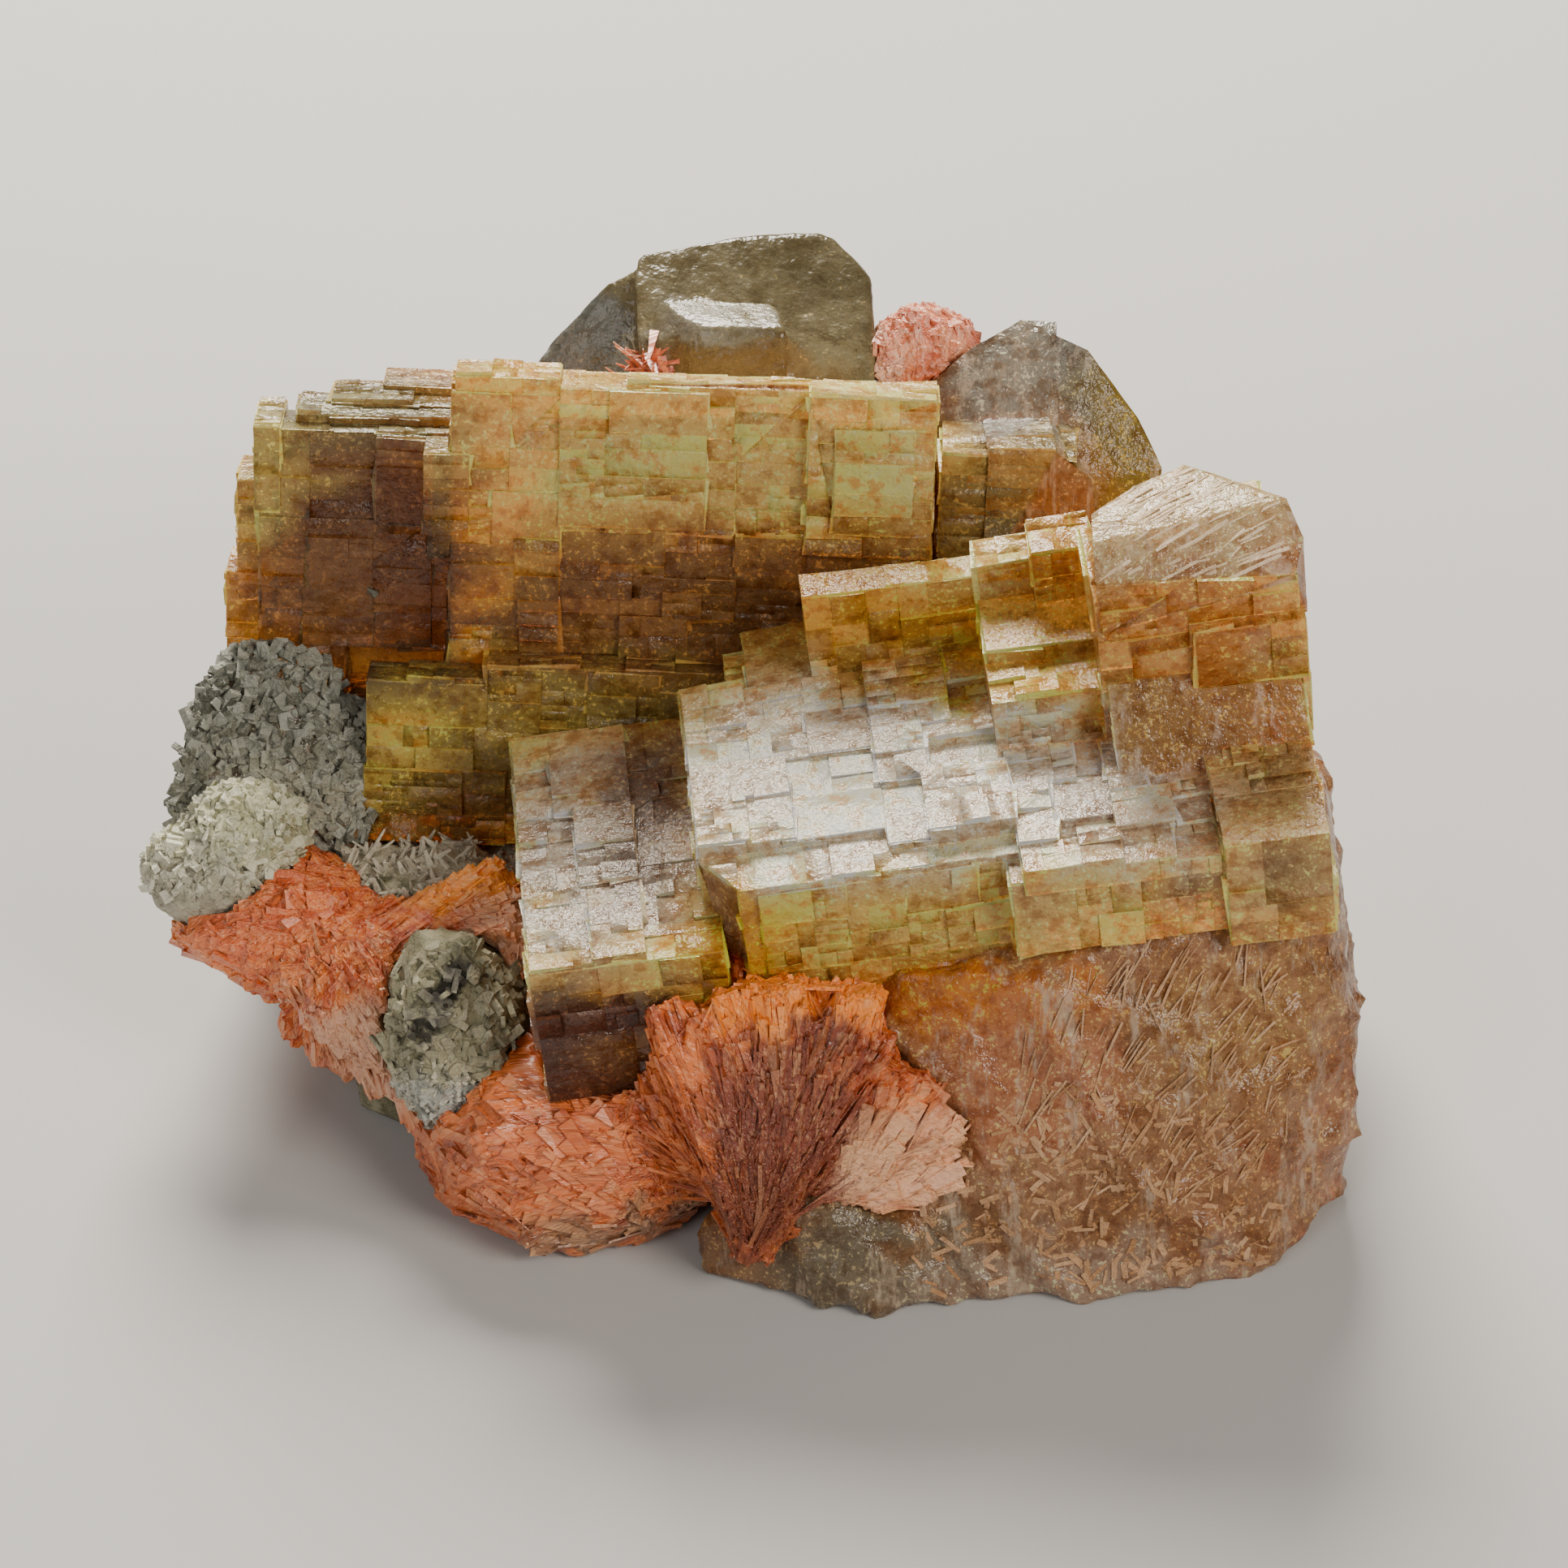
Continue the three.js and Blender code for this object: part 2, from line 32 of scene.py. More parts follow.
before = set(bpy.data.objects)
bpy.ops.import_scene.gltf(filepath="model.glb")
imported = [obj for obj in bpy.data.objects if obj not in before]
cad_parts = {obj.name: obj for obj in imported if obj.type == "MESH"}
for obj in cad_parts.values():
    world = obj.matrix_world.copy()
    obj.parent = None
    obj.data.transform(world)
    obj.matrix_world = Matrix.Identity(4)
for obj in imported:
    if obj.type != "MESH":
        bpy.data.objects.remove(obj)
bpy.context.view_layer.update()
mm = 0.001
# points closer than the first are one point, and a corner closer than the second lies on a cut
samePoint = 2e-6
onCut = 1e-7
fluoriteIor = 1.434
bariteIor = 1.64
# a spot of paint is whole up to the first share of its radius, and gone from the second
spotWhole = 0.6
spotGone = 1.4
towardsFront = Vector((0, -0.85, 0.53)).normalized()


def turnedFrame(tilt):
    x, y, z = (math.radians(angle) for angle in tilt)
    return Matrix.Rotation(x, 3, "X") @ Matrix.Rotation(y, 3, "Y") @ Matrix.Rotation(z, 3, "Z")


# the common directions of the two families of cubes
frontLattice = turnedFrame((3, -6, 5))
rearLattice = turnedFrame((-11.5, 2, -1))


# meshes


def nodeCopy(name):
    bm = bmesh.new()
    bm.from_mesh(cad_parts[name].data)
    bmesh.ops.remove_doubles(bm, verts=bm.verts, dist=samePoint)
    return bm


def pieceFrom(bm, name, material, stands=(), smoothUnder=30):
    mesh = bpy.data.meshes.new(name)
    bm.to_mesh(mesh)
    bm.free()
    mesh.materials.append(material)
    mesh.polygons.foreach_set("use_smooth", [True] * len(mesh.polygons))
    mesh.set_sharp_from_angle(angle=math.radians(smoothUnder))
    piece = bpy.data.objects.new(name, mesh)
    bpy.context.scene.collection.objects.link(piece)
    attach(piece, "root")
    if stands:
        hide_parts(*stands)
    mesh.calc_loop_triangles()
    print(f"{name}: {len(mesh.loop_triangles)} triangles")
    return piece


def remeshed(bm, voxel):
    mesh = bpy.data.meshes.new("remeshWork")
    bm.to_mesh(mesh)
    bm.free()
    work = bpy.data.objects.new("remeshWork", mesh)
    bpy.context.scene.collection.objects.link(work)
    modifier = work.modifiers.new("voxels", "REMESH")
    modifier.mode = "VOXEL"
    modifier.voxel_size = voxel
    graph = bpy.context.evaluated_depsgraph_get()
    made = bpy.data.meshes.new_from_object(work.evaluated_get(graph))
    fresh = bmesh.new()
    fresh.from_mesh(made)
    bpy.data.objects.remove(work)
    bpy.data.meshes.remove(made)
    bpy.data.meshes.remove(mesh)
    return fresh


# Halves the longest edges of a zone, and the triangles on them, until it is fine enough to be roughened.
def refineZone(bm, zone, value, longest):
    bmesh.ops.triangulate(bm, faces=[face for face in bm.faces if face[zone] == value])
    while True:
        sides = {edge for face in bm.faces if face[zone] == value for edge in face.edges}
        tooLong = [edge for edge in sides if edge.calc_length() > longest]
        chosen, taken = [], set()
        for edge in sorted(tooLong, key=lambda side: -side.calc_length()):
            own = [face for face in edge.link_faces if face[zone] == value]
            if taken.isdisjoint(own):
                chosen.append((edge, own))
                taken.update(own)
        if not chosen:
            break
        for edge, own in chosen:
            ends = set(edge.verts)
            apexes = [next(vert for vert in face.verts if vert not in ends) for face in own]
            middle = bmesh.utils.edge_split(edge, edge.verts[0], 0.5)[1]
            for face, apex in zip(own, apexes):
                bmesh.utils.face_split(face, middle, apex)


# Moves points along their normals by the height that a function gives for each place.
def roughen(bm, verts, height):
    bm.normal_update()
    moves = [(vert, vert.normal * height(vert.co)) for vert in verts]
    for vert, move in moves:
        vert.co += move


def smoothed(bm, verts, steps):
    axes = {"use_axis_x": True, "use_axis_y": True, "use_axis_z": True}
    for step in range(steps):
        bmesh.ops.smooth_vert(bm, verts=verts, factor=0.5, **axes)


# Cuts one flat face along the plane where axis reaches a value, and gives its parts.
def cutFace(face, axis, where):
    marks = []
    corners = [(loop.edge, loop.vert, loop.link_loop_next.vert) for loop in face.loops]
    for edge, first, second in corners:
        start, end = first.co.dot(axis) - where, second.co.dot(axis) - where
        if abs(start) < onCut:
            marks.append(first)
        elif abs(end) > onCut and start * end < 0:
            marks.append(bmesh.utils.edge_split(edge, first, start / (start - end))[1])
    line = axis.cross(face.normal)
    marks.sort(key=lambda vert: vert.co.dot(line))
    parts = [face]
    for first, second in zip(marks[::2], marks[1::2]):
        whole = next((part for part in parts if first in part.verts and second in part.verts), None)
        if whole and not any(second in edge.verts for edge in first.link_edges):
            parts.append(bmesh.utils.face_split(whole, first, second)[0])
    return parts


mosaicRules = {
    # a part this many times longer than its plate size is always split, and a shorter one by chance
    "alwaysOver": 3.4,
    "neverUnder": 1.35,
    "cutAt": (0.3, 0.7),
    # the narrowest plate, in grooves, and how far a plate leans, as a share of its height
    "leastWidth": 1.6,
    "lean": 0.7,
    # the rim value of a step, which sets how strong its painted highlight is: what every step has, and what
    # each mm of height adds
    "rimStart": 0.3,
    "rimPerMm": 5,
}


# Splits a flat face again and again into the rectangles of a growth mosaic.
def splitMosaic(face, axes, cell, stop, dice, done):
    spans = []
    for axis in axes:
        along = [vert.co.dot(axis) for vert in face.verts]
        spans.append((min(along), max(along)))
    ratios = [(high - low) / size for (low, high), size in zip(spans, cell)]
    longest, rules = max(ratios), mosaicRules
    if longest > rules["alwaysOver"] or (longest > rules["neverUnder"] and dice.random() > stop):
        pick = ratios.index(longest)
        low, high = spans[pick]
        parts = cutFace(face, axes[pick], low + (high - low) * dice.uniform(*rules["cutAt"]))
        if len(parts) > 1:
            for part in parts:
                splitMosaic(part, axes, cell, stop, dice, done)
            return
    done.append(face)


# Lifts each plate by one of a few heights, tilts it a little, and leaves a fine groove round it.
# The layers tone and rim tell the material which plate a face is, and which faces are the steps, and so where
# it paints glare and highlights.
def liftPlates(bm, faces, groove, heights, dice):
    tone, rim = bm.faces.layers.float["tone"], bm.faces.layers.float["rim"]
    lifted = {height: [] for height in heights}
    for face in faces:
        if face.calc_area() > mosaicRules["leastWidth"] * groove * face.calc_perimeter():
            lifted[dice.choice(heights)].append(face)
    for height, plates in lifted.items():
        if plates:
            made = bmesh.ops.inset_individual(
                bm, faces=plates, thickness=groove, depth=height, use_even_offset=False
            )
            for face in made["faces"]:
                face[rim] = min(1, mosaicRules["rimStart"] + height / mm * mosaicRules["rimPerMm"])
        for face in plates:
            face[tone] = dice.random()
            face[rim] = 0
            middle = face.calc_center_median()
            lean = Vector([dice.uniform(-1, 1) for axis in range(3)])
            lean -= face.normal * lean.dot(face.normal)
            reach = max(abs((vert.co - middle).dot(lean)) for vert in face.verts)
            normal, rise = face.normal.copy(), height * mosaicRules["lean"]
            for vert in face.verts:
                vert.co += normal * ((vert.co - middle).dot(lean) / max(reach, 1e-9) * rise)
    return [face for plates in lifted.values() for face in plates]


# A pile of unit cubes, eight corners after eight, made by doubling one cube.
def unitCubes(count):
    bm = bmesh.new()
    bmesh.ops.create_cube(bm, size=1)
    while len(bm.verts) < count * 8:
        bmesh.ops.duplicate(bm, geom=bm.verts[:] + bm.edges[:] + bm.faces[:])
    bmesh.ops.delete(bm, geom=bm.verts[count * 8:], context="VERTS")
    return bm


# Turns a unit cube into a tapered blade from foot to tip, its flat side turned to face.
def shapeBlade(corners, foot, tip, facing, wide, thick, taper):
    along = (tip - foot).normalized()
    across = facing.cross(along).normalized()
    flat = along.cross(across).normalized()
    for vert in corners:
        x, y, z = vert.co
        share = taper[0] if z < 0 else taper[1]
        end = foot if z < 0 else tip
        vert.co = end + (across * (x * wide) + flat * (y * thick)) * share


# The middle in mm, the normal and the area of some faces, and the surface that a blade is laid on.
def bodyOf(bm, faces=None):
    bm.normal_update()
    chosen = faces or bm.faces
    spots = [(face.calc_center_median() / mm, face.normal.copy(), face.calc_area()) for face in chosen]
    return spots, BVHTree.FromBMesh(bm)


bladeRules = {
    "turnedToFront": 0.05,
    "aboveFloorMm": 1,
    "spread": 0.12,
    "roll": 0.15,
    # how deep a foot is sunk, as a share of the blade's thickness
    "sunk": 0.3,
    "shortestMm": 0.2,
    "taper": (0.5, 0.8),
}


def scattered(dice, spread):
    return Vector([dice.gauss(0, spread) for axis in range(3)])


# Blades, needles or small cubes that stand on a body near some places, each with its own tone.
# They grow only on faces that are turned to the front and lie clear of the floor.
def tuftPiece(name, body, tufts, material, seed):
    dice, rules = random.Random(seed), bladeRules
    bm = unitCubes(sum(tuft["count"] for tuft in tufts))
    tone = bm.faces.layers.float.new("tone")
    verts = bm.verts[:]
    for tuft in tufts:
        at, root = Vector(tuft["at"]), tuft.get("root")
        near = [
            spot for spot in body[0]
            if (spot[0] - at).length < tuft["reach"]
            and spot[1].dot(towardsFront) > rules["turnedToFront"]
            and spot[0].z > rules["aboveFloorMm"]
        ]
        for point, normal, area in dice.choices(near, weights=[spot[2] for spot in near], k=tuft["count"]):
            along = point - Vector(root) if root else scattered(dice, 1)
            along += scattered(dice, rules["spread"]) * along.length
            along = (along - normal * along.dot(normal)).normalized()
            lift = math.radians(dice.uniform(*tuft["lift"]))
            length = dice.uniform(*tuft["long"])
            wide, thick = dice.uniform(*tuft["wide"]), dice.uniform(*tuft["thick"])
            # both ends lie on the surface, and the lift raises the tip from it
            foot = body[1].find_nearest((point - along * length * 0.5) * mm)[0] / mm
            foot -= normal * thick * rules["sunk"]
            tip, tipNormal = body[1].find_nearest((point + along * length * 0.5 * math.cos(lift)) * mm)[:2]
            tip = tip / mm + tipNormal * math.sin(lift) * length
            if (tip - foot).length < rules["shortestMm"]:
                tip = foot + normal * rules["shortestMm"]
            facing = (normal + scattered(dice, rules["roll"])).normalized()
            corners, verts = verts[:8], verts[8:]
            taper = tuft.get("taper", rules["taper"])
            shapeBlade(corners, foot * mm, tip * mm, facing, wide * mm, thick * mm, taper)
            value = dice.uniform(*tuft["tone"])
            for vert in corners:
                for face in vert.link_faces:
                    face[tone] = value
    return pieceFrom(bm, name, material)


# node building


def addNode(tree, kind, inputs=None, **settings):
    made = tree.nodes.new("ShaderNode" + kind)
    for name, value in settings.items():
        setattr(made, name, value)
    for key, value in (inputs or {}).items():
        if isinstance(value, bpy.types.NodeSocket):
            tree.links.new(value, made.inputs[key])
        else:
            made.inputs[key].default_value = value
    return made


def calc(tree, operation, first, second=0.0, third=0.0, clamp=False):
    values = {0: first, 1: second, 2: third}
    return addNode(tree, "Math", values, operation=operation, use_clamp=clamp).outputs[0]


def vectorCalc(tree, operation, inputs, output=0):
    return addNode(tree, "VectorMath", inputs, operation=operation).outputs[output]


def mixed(tree, factor, first, second, blend="MIX"):
    kind = {"data_type": "RGBA", "blend_type": blend, "clamp_result": True}
    return addNode(tree, "Mix", {0: factor, 6: first, 7: second}, **kind).outputs[2]


def between(tree, value, low, high, bottom=0.0, top=1.0):
    inputs = {0: value, 1: low, 2: high, 3: bottom, 4: top}
    return addNode(tree, "MapRange", inputs, interpolation_type="SMOOTHSTEP").outputs[0]


def noiseOf(tree, place, scale, detail, rough):
    inputs = {"Vector": place, "Scale": scale, "Detail": detail, "Roughness": rough}
    return addNode(tree, "TexNoise", inputs).outputs["Fac"]


def newGroup(name, inputs, outputs):
    tree = bpy.data.node_groups.new(name, "ShaderNodeTree")
    for label, kind, value in inputs:
        made = tree.interface.new_socket(label, in_out="INPUT", socket_type="NodeSocket" + kind)
        made.default_value = value
    for label, kind in outputs:
        tree.interface.new_socket(label, in_out="OUTPUT", socket_type="NodeSocket" + kind)
    return tree, tree.nodes.new("NodeGroupInput").outputs, tree.nodes.new("NodeGroupOutput").inputs


def useGroup(tree, group, inputs):
    made = tree.nodes.new("ShaderNodeGroup")
    made.node_tree = group
    for key, value in inputs.items():
        if isinstance(value, bpy.types.NodeSocket):
            tree.links.new(value, made.inputs[key])
        else:
            made.inputs[key].default_value = value
    return made.outputs


# A soft-edged spot of colour. Squeeze and Offset turn the spot into a unit ball round the origin.
def makePaintSpot():
    tree, given, result = newGroup(
        "paintSpot",
        [
            ("Place", "Vector", (0, 0, 0)),
            ("Below", "Color", (1, 1, 1, 1)),
            ("Paint", "Color", (1, 1, 1, 1)),
            ("Squeeze", "Vector", (1, 1, 1)),
            ("Offset", "Vector", (0, 0, 0)),
            ("Strength", "Float", 1.0),
        ],
        [("Color", "Color")],
    )
    ball = vectorCalc(tree, "MULTIPLY_ADD", {0: given["Place"], 1: given["Squeeze"], 2: given["Offset"]})
    reach = vectorCalc(tree, "LENGTH", {0: ball}, "Value")
    mask = between(tree, reach, spotWhole, spotGone, given["Strength"], 0.0)
    tree.links.new(mixed(tree, mask, given["Below"], given["Paint"]), result["Color"])
    return tree


# Small specks of painted sparkle that gather where a cloud is dense.
def makePaintedSparkle():
    tree, given, result = newGroup(
        "paintedSparkle",
        [
            ("Place", "Vector", (0, 0, 0)),
            ("Cloud", "Float", 0.5),
            ("Size", "Float", 2.0),
            ("Amount", "Float", 0.5),
        ],
        [("Mask", "Float")],
    )
    fine = noiseOf(tree, given["Place"], given["Size"], 2, 0.7)
    needed = calc(tree, "SUBTRACT", 1.1, calc(tree, "MULTIPLY_ADD", given["Cloud"], 0.6, given["Amount"]))
    tree.links.new(between(tree, fine, needed, calc(tree, "ADD", needed, 0.06)), result["Mask"])
    return tree


# Streaks that run out from a centre, as the fibres of a radiating mineral do.
def makeFanStreaks():
    tree, given, result = newGroup(
        "fanStreaks",
        [
            ("Place", "Vector", (0, 0, 0)),
            ("Centre", "Vector", (0, 0, 0)),
            ("Fineness", "Float", 9.0),
            ("Stretch", "Float", 0.16),
        ],
        [("Coarse", "Float"), ("Fine", "Float")],
    )
    away = vectorCalc(tree, "SUBTRACT", {0: given["Place"], 1: given["Centre"]})
    reach = vectorCalc(tree, "LENGTH", {0: away}, "Value")
    heading = vectorCalc(tree, "NORMALIZE", {0: away})
    swollen = vectorCalc(tree, "SCALE", {0: heading, "Scale": given["Fineness"]})
    along = calc(tree, "MULTIPLY", reach, given["Stretch"])
    shifted = vectorCalc(tree, "ADD", {0: swollen, 1: along})
    tree.links.new(noiseOf(tree, shifted, 1.0, 1, 0.5), result["Coarse"])
    tree.links.new(noiseOf(tree, shifted, 4.2, 2, 0.6), result["Fine"])
    return tree


# White and pale veils that cross a clear mass in feathery bands.
def makeVeils():
    tree, given, result = newGroup(
        "veils",
        [("Place", "Vector", (0, 0, 0)), ("Density", "Float", 0.5)],
        [("Mask", "Float")],
    )
    turn = {"Vector": given["Place"], "Rotation": (0.2, 0.9, 0.3), "Scale": (0.9, 0.5, 0.16)}
    leaning = addNode(tree, "Mapping", turn).outputs[0]
    bands = noiseOf(tree, leaning, 0.5, 4, 0.7)
    fibres = noiseOf(tree, leaning, 2.4, 2, 0.7)
    both = calc(tree, "MULTIPLY_ADD", fibres, 0.35, calc(tree, "MULTIPLY", bands, 0.75))
    start = calc(tree, "SUBTRACT", 0.92, calc(tree, "MULTIPLY", given["Density"], 0.7))
    tree.links.new(between(tree, both, start, calc(tree, "ADD", start, 0.16)), result["Mask"])
    return tree


paintSpot = makePaintSpot()
paintedSparkle = makePaintedSparkle()
fanStreaks = makeFanStreaks()
veils = makeVeils()


# materials


def newMaterial(name):
    material = bpy.data.materials.new(name)
    material.use_nodes = True
    tree = material.node_tree
    shader = tree.nodes["Principled BSDF"]
    coords = addNode(tree, "TexCoord").outputs["Object"]
    place = addNode(tree, "Mapping", {"Vector": coords, "Scale": (1000, 1000, 1000)}).outputs[0]
    return material, tree, shader, place


# Lays spots of colour over a colour. The wobble of a noise makes their edges ragged.
def paintSpots(tree, place, colour, spots, wobble):
    shift = calc(tree, "MULTIPLY_ADD", wobble, 12.0, -6.0)
    moved = vectorCalc(tree, "ADD", {0: place, 1: shift})
    for centre, radius, paint, strength in spots:
        squeeze = [1 / size for size in radius]
        offset = [-spot / size for spot, size in zip(centre, radius)]
        inputs = {"Place": moved, "Squeeze": squeeze, "Offset": offset, "Strength": strength}
        colour = useGroup(tree, paintSpot, {**inputs, "Below": colour, "Paint": (*paint, 1)})["Color"]
    return colour


# A value that the mesh carries on its faces.
def carried(tree, name):
    return addNode(tree, "Attribute", attribute_name=name).outputs["Fac"]


def setClear(tree, shader, values):
    shader.inputs["Transmission Weight"].default_value = values["clear"]
    shader.inputs["IOR"].default_value = fluoriteIor
    inputs = {"Color": (*values["depthColour"], 1), "Density": values["depthDensity"]}
    fog = addNode(tree, "VolumeAbsorption", inputs)
    tree.links.new(fog.outputs[0], tree.nodes["Material Output"].inputs["Volume"])


# Relief finer than the mesh, which is only shaded.
def addRelief(tree, shader, height, depthMm, strength):
    bump = addNode(tree, "Bump", {"Height": height, "Distance": depthMm * mm, "Strength": strength})
    tree.links.new(bump.outputs[0], shader.inputs["Normal"])


# Darkens a colour in mottled clouds, paints a highlight on some plates, sparkle specks and steps, and gives
# it back with the roughness that goes with it. The painted highlight is above 1, so these are brighter than
# what lies round them.
def markCrystal(tree, place, colour, values):
    mottle = noiseOf(tree, place, 0.8, 3, 0.7)
    dark = between(tree, mottle, 0.36, 0.52, values["mottling"], 0.0)
    colour = mixed(tree, dark, colour, (*values["shade"], 1), "MULTIPLY")
    # each plate's random value, which sets its painted glare and its roughness
    plateGlare = carried(tree, "tone")
    # painted sparkle: specks that glitter as if they caught the light
    inputs = {"Place": place, "Cloud": mottle, "Size": 3.0, "Amount": values["paintedSparkle"]}
    sparkleMask = useGroup(tree, paintedSparkle, inputs)["Mask"]
    # plates with a high value get painted glare
    lighter = between(tree, plateGlare, 0.4, 1.0, 0.0, values["plateGlare"])
    # the steps get a painted highlight, stronger on taller steps
    steps = calc(tree, "MULTIPLY", carried(tree, "rim"), values["stepHighlight"])
    # where the painted highlight lies: on glared plates, sparkle specks and steps
    bright = calc(tree, "MAXIMUM", calc(tree, "MAXIMUM", lighter, steps), sparkleMask)
    colour = mixed(tree, bright, colour, (*values["paintedHighlight"], 1), "MULTIPLY")
    rough = between(tree, mottle, 0.3, 0.7, values["rough"] - 0.06, values["rough"] + 0.1)
    return colour, calc(tree, "MULTIPLY_ADD", plateGlare, 0.12, rough)


def crystalMaterial(name, values):
    material, tree, shader, place = newMaterial(name)
    broad = noiseOf(tree, place, 0.16, 3, 0.6)
    colour = mixed(tree, between(tree, broad, 0.38, 0.62), (*values["deep"], 1), (*values["pale"], 1))
    colour = paintSpots(tree, place, colour, values["spots"], broad)
    colour, rough = markCrystal(tree, place, colour, values)
    tree.links.new(colour, shader.inputs["Base Color"])
    tree.links.new(rough, shader.inputs["Roughness"])
    addRelief(tree, shader, noiseOf(tree, place, 1.2, 2, 0.6), 0.3, values["relief"])
    setClear(tree, shader, values)
    return material


# the colours of the cluster's three zones: deep and pale shades, and spots that are laid over them
frontFluorite = {
    "deep": (0.76, 0.38, 0.07),
    "pale": (0.95, 0.66, 0.2),
    # centre, radius, colour, strength
    "spots": [
        # the white of the terrace tiles in the first two spots is painted glare
        ((8, -12, 34), (17, 12, 4), (0.97, 0.88, 0.72), 0.8),
        ((27, -17, 35), (9, 7, 4), (0.86, 0.78, 0.68), 0.7),
        ((26, -20, 34.5), (4, 2.5, 2), (0.3, 0.2, 0.18), 0.7),
        ((-11, -12, 27), (8, 13, 3), (0.66, 0.6, 0.52), 0.85),
        ((-8, -10, 27), (3, 9, 3), (0.2, 0.13, 0.1), 0.7),
        ((-12, -26, 17), (9, 4, 8), (0.09, 0.035, 0.03), 0.97),
        ((31, -10, 45), (9, 7, 9), (0.56, 0.28, 0.08), 0.85),
        ((38, -19, 33), (6, 7, 7), (0.42, 0.28, 0.14), 0.85),
        ((10, -1, 38), (8, 4, 5), (0.6, 0.3, 0.03), 0.85),
        ((16.5, -3, 36), (1.5, 4, 6), (1.0, 0.5, 0.03), 0.8),
        ((8, -24, 28), (17, 3, 4.5), (0.96, 0.6, 0.14), 0.85),
        ((0, -24, 26), (4, 4, 5), (0.9, 0.42, 0.02), 0.85),
        ((29, -5, 54), (8, 6, 3), (0.85, 0.74, 0.52), 0.8),
    ],
}
rearFluorite = {
    "deep": (0.7, 0.32, 0.06),
    "pale": (0.9, 0.54, 0.12),
    "spots": [
        # the bright gold of the tall wall's top is a painted glow of light shining through its thin top
        ((-3, 10, 48), (22, 8, 6.5), (1.0, 0.68, 0.2), 0.9),
        ((-3, 7, 33), (21, 10, 8), (0.2, 0.075, 0.028), 0.85),
        # the dark of the set-back wall on the left is painted shade, over its own darker brown
        ((-29, 9, 36), (10.5, 14, 14), (0.07, 0.042, 0.026), 0.95),
        ((-28, 16, 48), (12, 6, 3.5), (0.22, 0.21, 0.1), 0.9),
        ((-37, 12, 43), (3, 6, 7), (0.5, 0.46, 0.14), 0.8),
        ((-14, 2.5, 25), (17, 5, 6), (0.4, 0.29, 0.07), 0.9),
        ((-26, 2.5, 25), (3, 5, 6), (0.8, 0.62, 0.12), 0.8),
        ((-21, 1.5, 20.5), (7, 4, 3.5), (0.11, 0.06, 0.025), 0.7),
        ((21, 18, 46), (6, 6, 7), (0.34, 0.32, 0.26), 0.9),
        ((28, 18, 44), (5, 6, 8), (0.3, 0.22, 0.04), 0.9),
        ((21, 10, 41), (8, 5, 7), (0.27, 0.22, 0.09), 0.9),
        # a painted highlight: the brighter amber band down the tall wall's left edge
        ((-20, 9, 36), (2, 5, 7), (0.8, 0.4, 0.06), 0.7),
        ((12, 8, 46), (1.5, 5, 7), (1.0, 0.74, 0.3), 0.7),
    ],
}

massiveFluorite = {
    "deep": (0.4, 0.18, 0.06),
    "pale": (0.56, 0.29, 0.14),
    "spots": [
        ((12, -27, 23), (15, 5, 3.5), (1.0, 0.3, 0.02), 0.92),
        ((20, -28, 17), (8, 5, 6), (0.78, 0.3, 0.14), 0.8),
        ((37, -24, 20), (8, 6, 7), (0.62, 0.34, 0.12), 0.7),
        ((34, -29, 10), (7, 5, 6), (0.5, 0.24, 0.1), 0.5),
        ((8, -34, 3), (12, 4, 5), (0.26, 0.23, 0.15), 0.85),
        ((26, -33, 1), (16, 4, 4), (0.62, 0.46, 0.34), 0.7),
        ((-37, 4, 25), (12, 9, 8), (0.17, 0.17, 0.12), 0.95),
        ((21, 18, 46), (6, 7, 8), (0.4, 0.39, 0.33), 0.95),
        ((30, 18, 43), (6, 8, 9), (0.36, 0.26, 0.05), 0.95),
        ((31, -5, 53), (10, 8, 4), (0.84, 0.66, 0.34), 0.85),
        ((32, -11, 40), (12, 6, 5.5), (0.5, 0.27, 0.08), 0.92),
    ],
}
clusterLook = {
    "shade": (0.5, 0.28, 0.13),
    # painted highlight: the colour that brightens plates, sparkle specks and steps
    "paintedHighlight": (2.6, 2.6, 2.2),
    "veil": (0.9, 0.7, 0.5),
    "veilDensity": 0.5,
    "veilShare": 0.75,
    # how strongly plates take painted glare
    "plateGlare": 0.35,
    # how strongly the steps take the painted highlight
    "stepHighlight": 1.0,
    "mottling": 0.6,
    # the amount of painted sparkle specks
    "paintedSparkle": 0.2,
    "rough": 0.18,
    "relief": 0.7,
    "clear": 0.55,
    "depthColour": (0.8, 0.5, 0.12),
    "depthDensity": 220.0,
}


# One material for the whole cluster, so that light which enters through one face may leave through
# any other. The mesh carries the colour of each region, the tone of each plate and the veined mass.
def clusterMaterial(values):
    material, tree, shader, place = newMaterial("honeyFluorite")
    paint = addNode(tree, "Attribute", attribute_name="paint").outputs["Color"]
    colour, rough = markCrystal(tree, place, paint, values)
    veil = useGroup(tree, veils, {"Place": place, "Density": values["veilDensity"]})["Mask"]
    veiled = calc(tree, "MULTIPLY", calc(tree, "MULTIPLY", veil, values["veilShare"]), carried(tree, "mass"))
    colour = mixed(tree, veiled, colour, (*values["veil"], 1))
    tree.links.new(colour, shader.inputs["Base Color"])
    tree.links.new(calc(tree, "MULTIPLY_ADD", veiled, 0.3, rough), shader.inputs["Roughness"])
    addRelief(tree, shader, noiseOf(tree, place, 1.0, 3, 0.65), 0.4, values["relief"])
    setClear(tree, shader, values)
    return material


